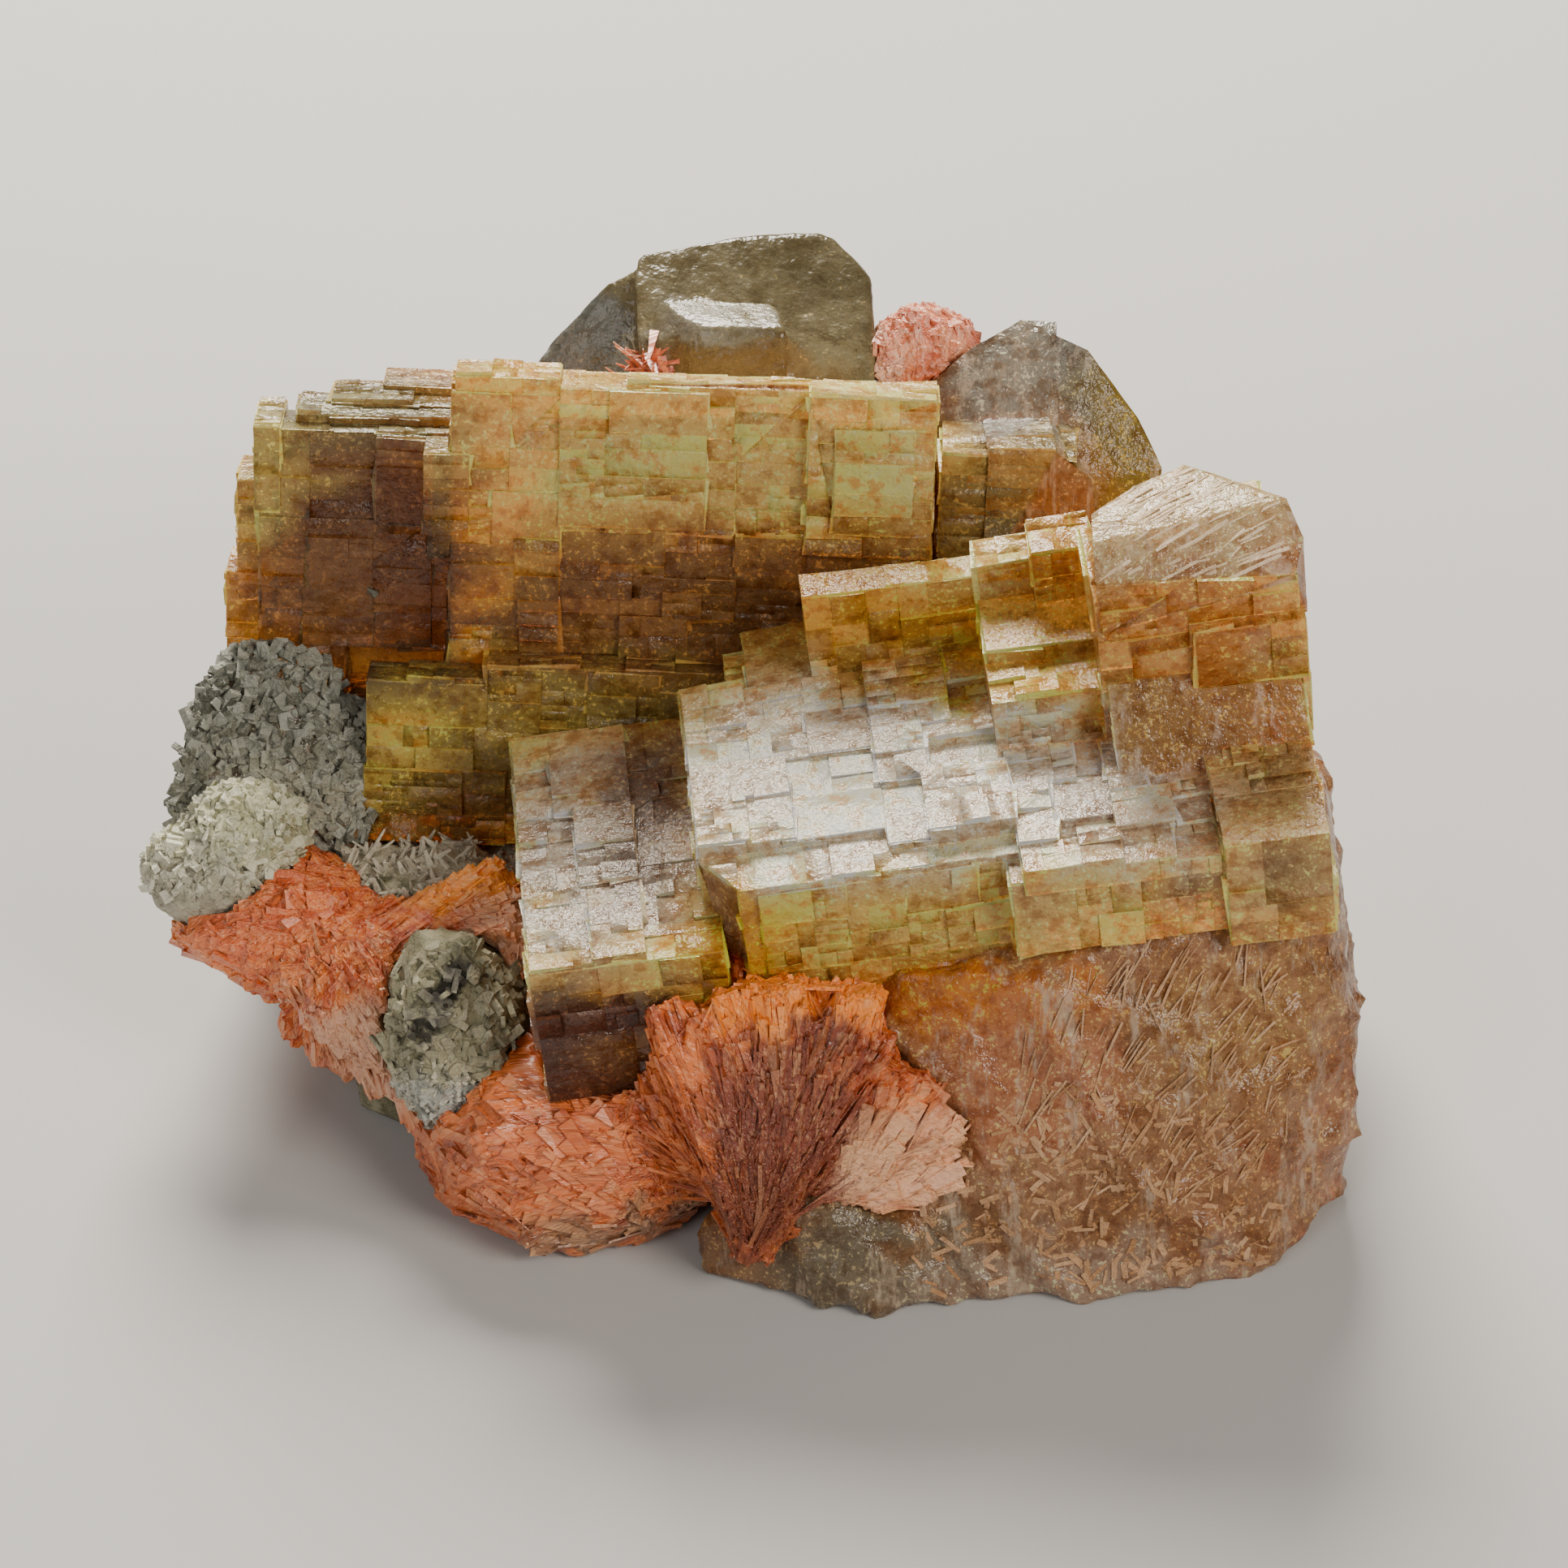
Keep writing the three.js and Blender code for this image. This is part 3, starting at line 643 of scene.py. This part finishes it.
# The colour of a place in mm: two shades in broad clouds, with the spots laid over them in turn.
def paintAt(point, look):
    cloud = noise.fractal(point * 0.16, 0.7, 2, 3)
    share = min(1, max(0, 0.5 + cloud * 1.2))
    colour = Vector(look["deep"]).lerp(Vector(look["pale"]), share)
    shift = noise.fractal(point * 0.3 + Vector((7, 3, 5)), 0.6, 2, 4) * 2.2
    for centre, radius, paint, strength in look["spots"]:
        away = [(axis + shift - middle) / size for axis, middle, size in zip(point, centre, radius)]
        if max(abs(part) for part in away) < spotGone:
            reach = math.sqrt(sum(part * part for part in away))
            fall = min(1, max(0, (spotGone - reach) / (spotGone - spotWhole)))
            colour = colour.lerp(Vector(paint), strength * fall * fall * (3 - 2 * fall))
    return (*colour, 1)


clusterFluorite = clusterMaterial(clusterLook)

greyFluorite = {
    "deep": (0.2, 0.165, 0.085),
    "pale": (0.32, 0.27, 0.15),
    "shade": (0.5, 0.4, 0.26),
    # painted highlight: the colour that brightens plates, sparkle specks and steps
    "paintedHighlight": (2.6, 2.4, 1.8),
    # how strongly plates take painted glare
    "plateGlare": 0.0,
    # how strongly the steps take the painted highlight
    "stepHighlight": 0.0,
    "mottling": 0.4,
    # the amount of painted sparkle specks
    "paintedSparkle": 0.12,
    "rough": 0.22,
    "relief": 0.6,
    "clear": 0.6,
    "depthColour": (0.82, 0.76, 0.56),
    "depthDensity": 50.0,
    "spots": [
        ((-13, 23, 46), (5, 6, 5), (0.24, 0.26, 0.24), 0.9),
        ((-1, 19, 47.5), (8, 4, 3), (0.34, 0.19, 0.06), 0.85),
        ((-2, 22, 51.4), (5, 3, 1), (0.5, 0.47, 0.38), 0.7),
    ],
}
greyMaterial = crystalMaterial("smokyFluorite", greyFluorite)


def bariteMaterial(name, values):
    material, tree, shader, place = newMaterial(name)
    broad = noiseOf(tree, place, 0.2, 3, 0.6)
    inputs = {"Place": place, "Centre": values["centre"], "Fineness": values["fineness"]}
    streaks = useGroup(tree, fanStreaks, inputs)
    share = between(tree, streaks["Coarse"], 0.36, 0.64)
    colour = mixed(tree, share, (*values["deep"], 1), (*values["bright"], 1))
    colour = paintSpots(tree, place, colour, values["spots"], broad)
    pale = between(tree, streaks["Fine"], 0.5, 0.72, 0.0, values["creamShare"])
    colour = mixed(tree, pale, colour, (*values["cream"], 1))
    dark = between(tree, streaks["Fine"], 0.3, 0.44, 0.6, 0.0)
    colour = mixed(tree, dark, colour, (*values["shade"], 1))
    tone = carried(tree, "tone")
    colour = mixed(tree, calc(tree, "MULTIPLY", tone, 0.55, clamp=True), colour, (*values["cream"], 1))
    colour = mixed(tree, calc(tree, "MULTIPLY", tone, -0.8, clamp=True), colour, (*values["shade"], 1))
    tree.links.new(colour, shader.inputs["Base Color"])
    rough = calc(tree, "MULTIPLY_ADD", streaks["Fine"], 0.4, 0.16)
    tree.links.new(rough, shader.inputs["Roughness"])
    addRelief(tree, shader, streaks["Fine"], 0.4, 0.9)
    shader.inputs["Coat Weight"].default_value = 0.25
    shader.inputs["Coat Roughness"].default_value = 0.2
    shader.inputs["IOR"].default_value = bariteIor
    return material


frontBariteLook = {
    "centre": (0.5, -29, 5),
    "fineness": 9.0,
    "deep": (0.5, 0.07, 0.008),
    "bright": (0.85, 0.19, 0.025),
    "shade": (0.12, 0.016, 0.003),
    "cream": (0.92, 0.5, 0.24),
    "creamShare": 0.35,
    "spots": [
        ((3, -30, 14), (7, 6, 9), (0.2, 0.028, 0.006), 0.92),
        ((6, -26, 24), (14, 4, 3), (1.0, 0.27, 0.01), 0.95),
        ((13, -29, 11), (6, 5, 5), (0.88, 0.5, 0.3), 0.85),
        ((-15, -27, 10), (7, 6, 5), (0.8, 0.22, 0.08), 0.6),
        ((-20, -25, 4), (6, 6, 5), (0.66, 0.18, 0.06), 0.6),
        ((-10, -28, 3), (7, 5, 3), (0.22, 0.15, 0.09), 0.8),
    ],
}
leftBariteLook = {
    "centre": (-31, -6, 12),
    "fineness": 7.0,
    "deep": (0.62, 0.09, 0.012),
    "bright": (0.9, 0.23, 0.035),
    "shade": (0.24, 0.03, 0.006),
    "cream": (0.92, 0.56, 0.32),
    "creamShare": 0.4,
    "spots": [
        ((-21, -9, 21), (6, 5, 3), (1.0, 0.34, 0.03), 0.85),
        ((-19, -12, 16), (4, 4, 4), (0.86, 0.58, 0.4), 0.8),
        ((-28, -16, 9), (7, 5, 5), (0.8, 0.46, 0.3), 0.8),
        ((-37, -9, 17), (6, 4, 4), (0.8, 0.17, 0.05), 0.6),
    ],
}
rearBariteLook = {
    "centre": (11, 22, 36),
    "fineness": 6.0,
    "deep": (0.64, 0.14, 0.06),
    "bright": (0.88, 0.34, 0.18),
    "shade": (0.26, 0.05, 0.02),
    "cream": (0.95, 0.66, 0.52),
    "creamShare": 0.5,
    "spots": [((6, 18, 46), (4, 4, 3), (0.84, 0.5, 0.38), 0.9)],
}
frontBariteMaterial = bariteMaterial("orangeBariteFront", frontBariteLook)
leftBariteMaterial = bariteMaterial("orangeBariteLeft", leftBariteLook)
rearBariteMaterial = bariteMaterial("salmonBarite", rearBariteLook)


def earthyMaterial(name, values):
    material, tree, shader, place = newMaterial(name)
    broad = noiseOf(tree, place, 0.25, 4, 0.65)
    colour = mixed(tree, between(tree, broad, 0.36, 0.64), (*values["dark"], 1), (*values["light"], 1))
    colour = paintSpots(tree, place, colour, values["spots"], broad)
    grains = noiseOf(tree, place, 1.6, 4, 0.72)
    colour = mixed(tree, between(tree, grains, 0.34, 0.48, 0.65, 0.0), colour, (*values["pit"], 1))
    colour = mixed(tree, calc(tree, "MULTIPLY", carried(tree, "tone"), 0.8), colour, (*values["speck"], 1))
    tree.links.new(colour, shader.inputs["Base Color"])
    rough = between(tree, grains, 0.3, 0.7, values["rough"], values["rough"] - 0.25)
    tree.links.new(rough, shader.inputs["Roughness"])
    addRelief(tree, shader, noiseOf(tree, place, 1.3, 4, 0.72), 0.6, 0.9)
    return material


rockLook = {
    "dark": (0.2, 0.185, 0.1),
    "light": (0.48, 0.44, 0.28),
    "pit": (0.06, 0.05, 0.03),
    "speck": (0.82, 0.76, 0.6),
    "rough": 0.85,
    "spots": [
        ((-23, -20, 9), (4, 5, 3), (0.6, 0.64, 0.66), 0.6),
        ((-23, -2, 18), (10, 5, 4), (0.6, 0.52, 0.38), 0.8),
        ((-23.2, -20.4, 17.6), (1.6, 2, 1.6), (0.015, 0.012, 0.008), 0.95),
    ],
}
crustLook = {
    "dark": (0.3, 0.29, 0.16),
    "light": (0.6, 0.58, 0.34),
    "pit": (0.12, 0.11, 0.06),
    "speck": (0.95, 0.92, 0.74),
    "rough": 0.5,
    "spots": [((-42, -7, 18), (5, 5, 4), (0.4, 0.36, 0.28), 0.8)],
}
slopeLook = {
    "dark": (0.07, 0.07, 0.045),
    "light": (0.22, 0.215, 0.16),
    "pit": (0.03, 0.028, 0.02),
    "speck": (0.5, 0.5, 0.42),
    "rough": 0.45,
    "spots": [((-36, 1, 21), (7, 4, 3), (0.5, 0.46, 0.34), 0.7)],
}
flakeLook = {
    "dark": (0.4, 0.19, 0.07),
    "light": (0.56, 0.3, 0.14),
    "pit": (0.3, 0.13, 0.05),
    "speck": (0.86, 0.64, 0.44),
    "rough": 0.5,
    "spots": [((29, -5, 53), (11, 9, 6), (0.84, 0.7, 0.44), 0.8)],
}
rockMaterial = earthyMaterial("greenishRock", rockLook)
crustMaterial = earthyMaterial("drusyCrust", crustLook)
slopeMaterial = earthyMaterial("sugaryFluorite", slopeLook)
flakeMaterial = earthyMaterial("palerFlakes", flakeLook)
print("materials made")


# the fluorite cluster

clusterValues = {
    "seed": 21,
    # per family of cubes (1 front, 2 rear): plate size and heights in mm, how often a large plate
    # is left whole, and the share of plates that are split
    "mosaic": {
        1: [
            ((2.6, 2.2), (0.01, 0.03, 0.06, 0.1, 0.17, 0.27), 0.3, 1.0),
            ((1.3, 1.0), (0.01, 0.02, 0.04, 0.08), 0.3, 0.35),
        ],
        2: [
            ((3.4, 1.5), (0.01, 0.03, 0.06, 0.1, 0.17, 0.26), 0.3, 1.0),
            ((1.7, 0.7), (0.01, 0.02, 0.04, 0.07), 0.3, 0.35),
        ],
    },
    "grooveMm": 0.014,
    "massEdgeMm": 1.1,
    "roundedBelowMm": 31,
    "smoothing": 4,
    # faces that meet within so many degrees are one
    "flatWithin": 0.5,
    # the cosines within which a face is one of a family's cube faces, as it was made and once tilted
    "madeCosine": 0.9995,
    "tiltedCosine": 0.97,
    # crest streaks and flakes, and the sugary crystals of the left slope, in mm and degrees
    "flakes": [
        {"at": (29, -5, 52), "reach": 9, "root": (5, -24, 44), "count": 90,
         "long": (2, 6), "wide": (0.2, 0.7), "thick": (0.15, 0.3),
         "lift": (0, 1), "tone": (0.3, 1), "taper": (0.4, 0.4)},
        {"at": (26, -32, 4), "reach": 14, "count": 260,
         "long": (0.6, 2.0), "wide": (0.3, 0.9), "thick": (0.1, 0.3),
         "lift": (0, 5), "tone": (0, 0.3), "taper": (0.6, 0.5)},
        {"at": (30, -27, 17), "reach": 11, "root": (10, -26, -12), "count": 180,
         "long": (2, 5), "wide": (0.15, 0.5), "thick": (0.1, 0.2),
         "lift": (0, 1), "tone": (0, 0.4), "taper": (0.4, 0.4)},
    ],
    "sugar": [
        {"at": (-37, 5, 27), "reach": 13, "count": 900,
         "long": (0.5, 1.6), "wide": (0.3, 1.2), "thick": (0.2, 0.7),
         "lift": (0, 40), "tone": (0, 0.8), "taper": (1, 0.8)},
    ],
}
# the parts of the cluster without crystal faces: where they lie and how rough they are, in mm
massValues = {
    "veinedBelow": 27,
    "veinedBefore": 14,
    "veinedRightOf": -6,
    "slopeLeftOf": -20,
    "veinedSwell": 0.6,
    "slopeSwell": 0.4,
    "otherSwell": 0.12,
    "creaseDepth": 0.9,
    "grainDepth": 0.4,
    "broadSize": 6.5,
    "fineSize": 2.1,
    "grainSize": 1.2,
}


# The family of cubes that a face belongs to, and the two directions of its growth plates.
def latticeAxes(normal, nearness):
    for index, lattice in ((1, frontLattice), (2, rearLattice)):
        columns = list(lattice.transposed())
        for pick, axis in enumerate(columns):
            if abs(normal.dot(axis)) > nearness:
                others = [column for spot, column in enumerate(columns) if spot != pick]
                return index, others
    return 0, None


def massHeight(point):
    p, values = point / mm, massValues
    veined = p.z < values["veinedBelow"] and p.y < values["veinedBefore"] and p.x > values["veinedRightOf"]
    slope = p.x < values["slopeLeftOf"]
    swell = values["veinedSwell"] if veined else values["slopeSwell"] if slope else values["otherSwell"]
    broad = noise.noise(p / values["broadSize"])
    fine = noise.fractal(p / values["fineSize"], 0.8, 2.2, 3)
    height = swell * (broad + 0.6 * fine)
    if veined:
        crease = 1 - abs(noise.noise(Vector((p.x * 0.16 + p.z * 0.13, p.y * 0.12, p.z * 0.06 - p.x * 0.05))))
        height += values["creaseDepth"] * (crease ** 6 - 0.4)
    if slope:
        height += values["grainDepth"] * abs(noise.noise(p / values["grainSize"]))
    return height * mm


def buildCluster(values):
    bm = nodeCopy("fluorite_cluster")
    flatAngle = math.radians(values["flatWithin"])
    bmesh.ops.dissolve_limit(bm, angle_limit=flatAngle, verts=bm.verts, edges=bm.edges)
    bm.normal_update()
    bm.faces.layers.float.new("tone")
    bm.faces.layers.float.new("rim")
    zone = bm.faces.layers.int.new("zone")
    for face in bm.faces:
        face[zone] = latticeAxes(face.normal, values["madeCosine"])[0]
    dice = random.Random(values["seed"])
    for index in (1, 2):
        faces = [face for face in bm.faces if face[zone] == index]
        for cell, heights, stop, share in values["mosaic"][index]:
            plates = []
            for face in faces:
                axes = latticeAxes(face.normal, values["tiltedCosine"])[1]
                if axes and dice.random() < share:
                    splitMosaic(face, axes, [size * mm for size in cell], stop, dice, plates)
            faces = liftPlates(bm, plates, values["grooveMm"] * mm, [height * mm for height in heights], dice)
            bm.normal_update()
    print(f"mosaic cut: {len(bm.faces)} faces")
    refineZone(bm, zone, 0, values["massEdgeMm"] * mm)
    free = [vert for vert in bm.verts if all(face[zone] == 0 for face in vert.link_faces)]
    rounded = [vert for vert in free if vert.co.z < values["roundedBelowMm"] * mm]
    smoothed(bm, rounded, values["smoothing"])
    roughen(bm, free, massHeight)
    mass = bm.faces.layers.float.new("mass")
    for face in bm.faces:
        face[mass] = float(face[zone] == 0)
    paint = bm.verts.layers.float_color.new("paint")
    looks = (massiveFluorite, frontFluorite, rearFluorite)
    for vert in bm.verts:
        vert[paint] = paintAt(vert.co / mm, looks[max(face[zone] for face in vert.link_faces)])
    body = bodyOf(bm, [face for face in bm.faces if face[zone] == 0])
    pieceFrom(bm, "cluster", clusterFluorite, ["fluorite_cluster"], 25)
    tuftPiece("clusterFlakes", body, values["flakes"], flakeMaterial, values["seed"])
    tuftPiece("slopeCrystals", body, values["sugar"], slopeMaterial, values["seed"])


buildCluster(clusterValues)


# the other pieces

bodyValues = {
    "rearEdgeMm": 0.9,
    "rearSmoothing": 2,
    "rockVoxelMm": 0.55,
    "bariteVoxelMm": 0.32,
    "crustVoxelMm": 0.3,
    "crustReliefMm": 0.35,
    # below this the rock and the barite stay flat, to rest on
    "flatBelowMm": 0.3,
    "seed": 5,
}
frontTufts = [
    {"at": (2, -29, 14), "reach": 12, "root": (0.5, -33, 3), "count": 900,
     "long": (2.5, 6.5), "wide": (0.2, 0.6), "thick": (0.15, 0.4), "lift": (0, 2), "tone": (-0.7, 0.3)},
    {"at": (6, -26, 24), "reach": 10, "root": (3, -30, 8), "count": 300,
     "long": (1.5, 4), "wide": (0.3, 1.1), "thick": (0.15, 0.4), "lift": (0, 4), "tone": (-0.2, 0.4)},
    {"at": (13, -30, 11), "reach": 6, "root": (7, -32, 7), "count": 150,
     "long": (2.5, 5.5), "wide": (0.6, 1.7), "thick": (0.12, 0.3), "lift": (0, 7), "tone": (0.2, 1)},
    {"at": (-15, -27, 8), "reach": 12, "root": (-4, -30, 0), "count": 450,
     "long": (1, 3.5), "wide": (0.4, 1.6), "thick": (0.15, 0.5), "lift": (0, 7), "tone": (-0.4, 0.5)},
]
leftTufts = [
    {"at": (-37, -10, 16), "reach": 8, "root": (-27, -4, 13), "count": 200,
     "long": (1, 4), "wide": (0.5, 2.0), "thick": (0.15, 0.5), "lift": (0, 6), "tone": (-0.4, 0.2)},
    {"at": (-22, -9, 20), "reach": 8, "root": (-38, -18, 12), "count": 340,
     "long": (3, 7), "wide": (0.3, 1.0), "thick": (0.15, 0.4), "lift": (0, 3), "tone": (-0.3, 0.4)},
    {"at": (-28, -15, 10), "reach": 9, "root": (-33, -6, 21), "count": 420,
     "long": (1.5, 4), "wide": (0.3, 0.9), "thick": (0.15, 0.4), "lift": (0, 3), "tone": (0, 0.9)},
]
edgeTufts = [
    {"at": (-9, 18, 47), "reach": 3.5, "count": 90,
     "long": (1.5, 3.4), "wide": (0.3, 0.9), "thick": (0.15, 0.3),
     "lift": (15, 60), "tone": (-0.3, 0.3), "taper": (1, 0.2)},
]
rearTufts = [
    {"at": (7, 20, 47), "reach": 4.5, "count": 160,
     "long": (0.8, 2.2), "wide": (0.4, 1.3), "thick": (0.2, 0.5), "lift": (0, 20), "tone": (0.2, 1)},
    {"at": (14, 22, 47), "reach": 7, "root": (12, 20, 38), "count": 220,
     "long": (2, 5), "wide": (0.3, 1), "thick": (0.15, 0.4), "lift": (0, 3), "tone": (-0.4, 0.5)},
]
crustTufts = [
    {"at": (-40, 0, 22), "reach": 9, "count": 700,
     "long": (0.4, 1.4), "wide": (0.3, 1.0), "thick": (0.2, 0.7),
     "lift": (0, 35), "tone": (0, 0.8), "taper": (1, 0.7)},
]
rockTufts = [
    {"at": (-24, -1, 18), "reach": 11, "count": 900,
     "long": (0.5, 1.6), "wide": (0.15, 0.6), "thick": (0.12, 0.5),
     "lift": (0, 70), "tone": (0.2, 1), "taper": (1, 0.4)},
    {"at": (-23, -21, 10), "reach": 4, "count": 350,
     "long": (0.3, 0.9), "wide": (0.2, 0.6), "thick": (0.2, 0.5),
     "lift": (0, 70), "tone": (0.3, 1), "taper": (1, 0.6)},
    {"at": (-22, -20, 15), "reach": 7, "count": 320,
     "long": (0.5, 2.0), "wide": (0.4, 1.4), "thick": (0.3, 0.9),
     "lift": (0, 30), "tone": (0, 0.3), "taper": (0.8, 0.6)},
]


def buildRearCrystal(values):
    bm = nodeCopy("rear_fluorite")
    zone = bm.faces.layers.int.new("zone")
    refineZone(bm, zone, 0, values["rearEdgeMm"] * mm)
    smoothed(bm, bm.verts, values["rearSmoothing"])

    def height(point):
        p = point / mm
        return mm * (0.16 * noise.noise(p / 5) + 0.1 * noise.fractal(p / 1.6, 0.8, 2, 3))

    roughen(bm, bm.verts, height)
    body = bodyOf(bm)
    pieceFrom(bm, "rearCrystal", greyMaterial, ["rear_fluorite"], 35)
    tuftPiece("edgeBlades", body, edgeTufts, rearBariteMaterial, values["seed"])


def buildRock(values):
    bm = remeshed(nodeCopy("host_rock"), values["rockVoxelMm"] * mm)

    def height(point):
        p = point / mm
        if p.z < values["flatBelowMm"]:
            return 0
        lumps = 0.7 * noise.fractal(p / 4, 0.8, 2.1, 4) - 0.7 * abs(noise.noise(p / 2.6))
        return mm * (lumps - 0.3 * abs(noise.noise(p / 1.1)))

    roughen(bm, bm.verts, height)
    body = bodyOf(bm)
    pieceFrom(bm, "rock", rockMaterial, ["host_rock"], 60)
    tuftPiece("rockGrains", body, rockTufts, rockMaterial, values["seed"])


# The relief of a fan of fibres that run out from a centre.
def fanHeight(centre, tall, flatBelow):
    middle = Vector(centre)

    def height(point):
        p = point / mm
        if p.z < flatBelow:
            return 0
        away = p - middle
        heading = away.normalized()
        streak = noise.noise(heading * 11 + Vector((0, 0, away.length * 0.09)))
        fine = noise.noise(heading * 30 + Vector((0, away.length * 0.2, 0)))
        return mm * tall * (streak + 0.55 * fine + 0.4 * noise.noise(p / 2.2))

    return height


def buildBarite(name, node, look, material, tall, tufts, values):
    bm = remeshed(nodeCopy(node), values["bariteVoxelMm"] * mm)
    roughen(bm, bm.verts, fanHeight(look["centre"], tall, values["flatBelowMm"]))
    body = bodyOf(bm)
    pieceFrom(bm, name, material, [node], 50)
    tuftPiece(name + "Blades", body, tufts, material, values["seed"])


buildRearCrystal(bodyValues)
buildRock(bodyValues)
buildBarite("frontBarite", "front_barite", frontBariteLook, frontBariteMaterial, 0.4, frontTufts, bodyValues)
buildBarite("leftBarite", "left_barite", leftBariteLook, leftBariteMaterial, 0.4, leftTufts, bodyValues)
buildBarite("rearBarite", "rear_barite", rearBariteLook, rearBariteMaterial, 0.3, rearTufts, bodyValues)


def buildCrust(values):
    bm = remeshed(nodeCopy("drusy_crust"), values["crustVoxelMm"] * mm)
    relief = mm * values["crustReliefMm"]
    roughen(bm, bm.verts, lambda point: relief * noise.fractal(point / mm / 1.5, 0.9, 2, 4))
    body = bodyOf(bm)
    pieceFrom(bm, "crust", crustMaterial, ["drusy_crust"], 50)
    tuftPiece("crustCrystals", body, crustTufts, crustMaterial, values["seed"])


buildCrust(bodyValues)


# floor, light and camera

sceneValues = {
    "lookAtMm": (2.633, -4.55, 26.6),
    "elevation": 38.0,
    "distanceMm": 438.0,
    "lens": 135.0,
    "sensor": 36,
    "nearestMm": 10,
    "floorSize": 3,
    "floorGapMm": 0.2,
    "floorRough": 0.8,
    "floorColour": (0.5, 0.49, 0.48),
    "worldColour": (0.9, 0.93, 1.0),
    "worldStrength": 0.13,
    # name: place in mm, size in mm, watts, colour
    "lights": {
        "glareLight": ((-60, 420, 420), 300, 9.0, (1.0, 0.94, 0.84)),
        "fillLight": ((-300, -480, 420), 400, 1.2, (1.0, 0.98, 0.95)),
        "sideLight": ((380, -360, 400), 300, 2.8, (1.0, 0.93, 0.82)),
    },
}


def buildScene(values):
    target = Vector(values["lookAtMm"]) * mm
    bm = bmesh.new()
    bmesh.ops.create_grid(bm, x_segments=1, y_segments=1, size=values["floorSize"])
    mesh = bpy.data.meshes.new("floor")
    bm.to_mesh(mesh)
    bm.free()
    floor = bpy.data.objects.new("floor", mesh)
    floor.location.z = -values["floorGapMm"] * mm
    bpy.context.scene.collection.objects.link(floor)
    paint = bpy.data.materials.new("floorPaint")
    paint.use_nodes = True
    shader = paint.node_tree.nodes["Principled BSDF"]
    shader.inputs["Base Color"].default_value = (*values["floorColour"], 1)
    shader.inputs["Roughness"].default_value = values["floorRough"]
    mesh.materials.append(paint)

    world = bpy.data.worlds.new("studio")
    world.use_nodes = True
    sky = world.node_tree.nodes["Background"]
    sky.inputs["Color"].default_value = (*values["worldColour"], 1)
    sky.inputs["Strength"].default_value = values["worldStrength"]
    bpy.context.scene.world = world

    for name, (place, size, watts, colour) in values["lights"].items():
        lamp = bpy.data.lights.new(name, "AREA")
        lamp.shape = "DISK"
        lamp.size = size * mm
        lamp.energy = watts
        lamp.color = colour
        light = bpy.data.objects.new(name, lamp)
        light.location = Vector(place) * mm
        light.rotation_euler = (target - light.location).to_track_quat("-Z", "Y").to_euler()
        bpy.context.scene.collection.objects.link(light)

    rise = math.radians(values["elevation"])
    away = Vector((0, -math.cos(rise), math.sin(rise)))
    lens = bpy.data.cameras.new("camera")
    lens.lens = values["lens"]
    lens.sensor_width = values["sensor"]
    lens.clip_start = values["nearestMm"] * mm
    camera = bpy.data.objects.new("camera", lens)
    camera.location = target + away * values["distanceMm"] * mm
    camera.rotation_euler = (-away).to_track_quat("-Z", "Y").to_euler()
    bpy.context.scene.collection.objects.link(camera)
    bpy.context.scene.camera = camera
    print("scene set")


buildScene(sceneValues)
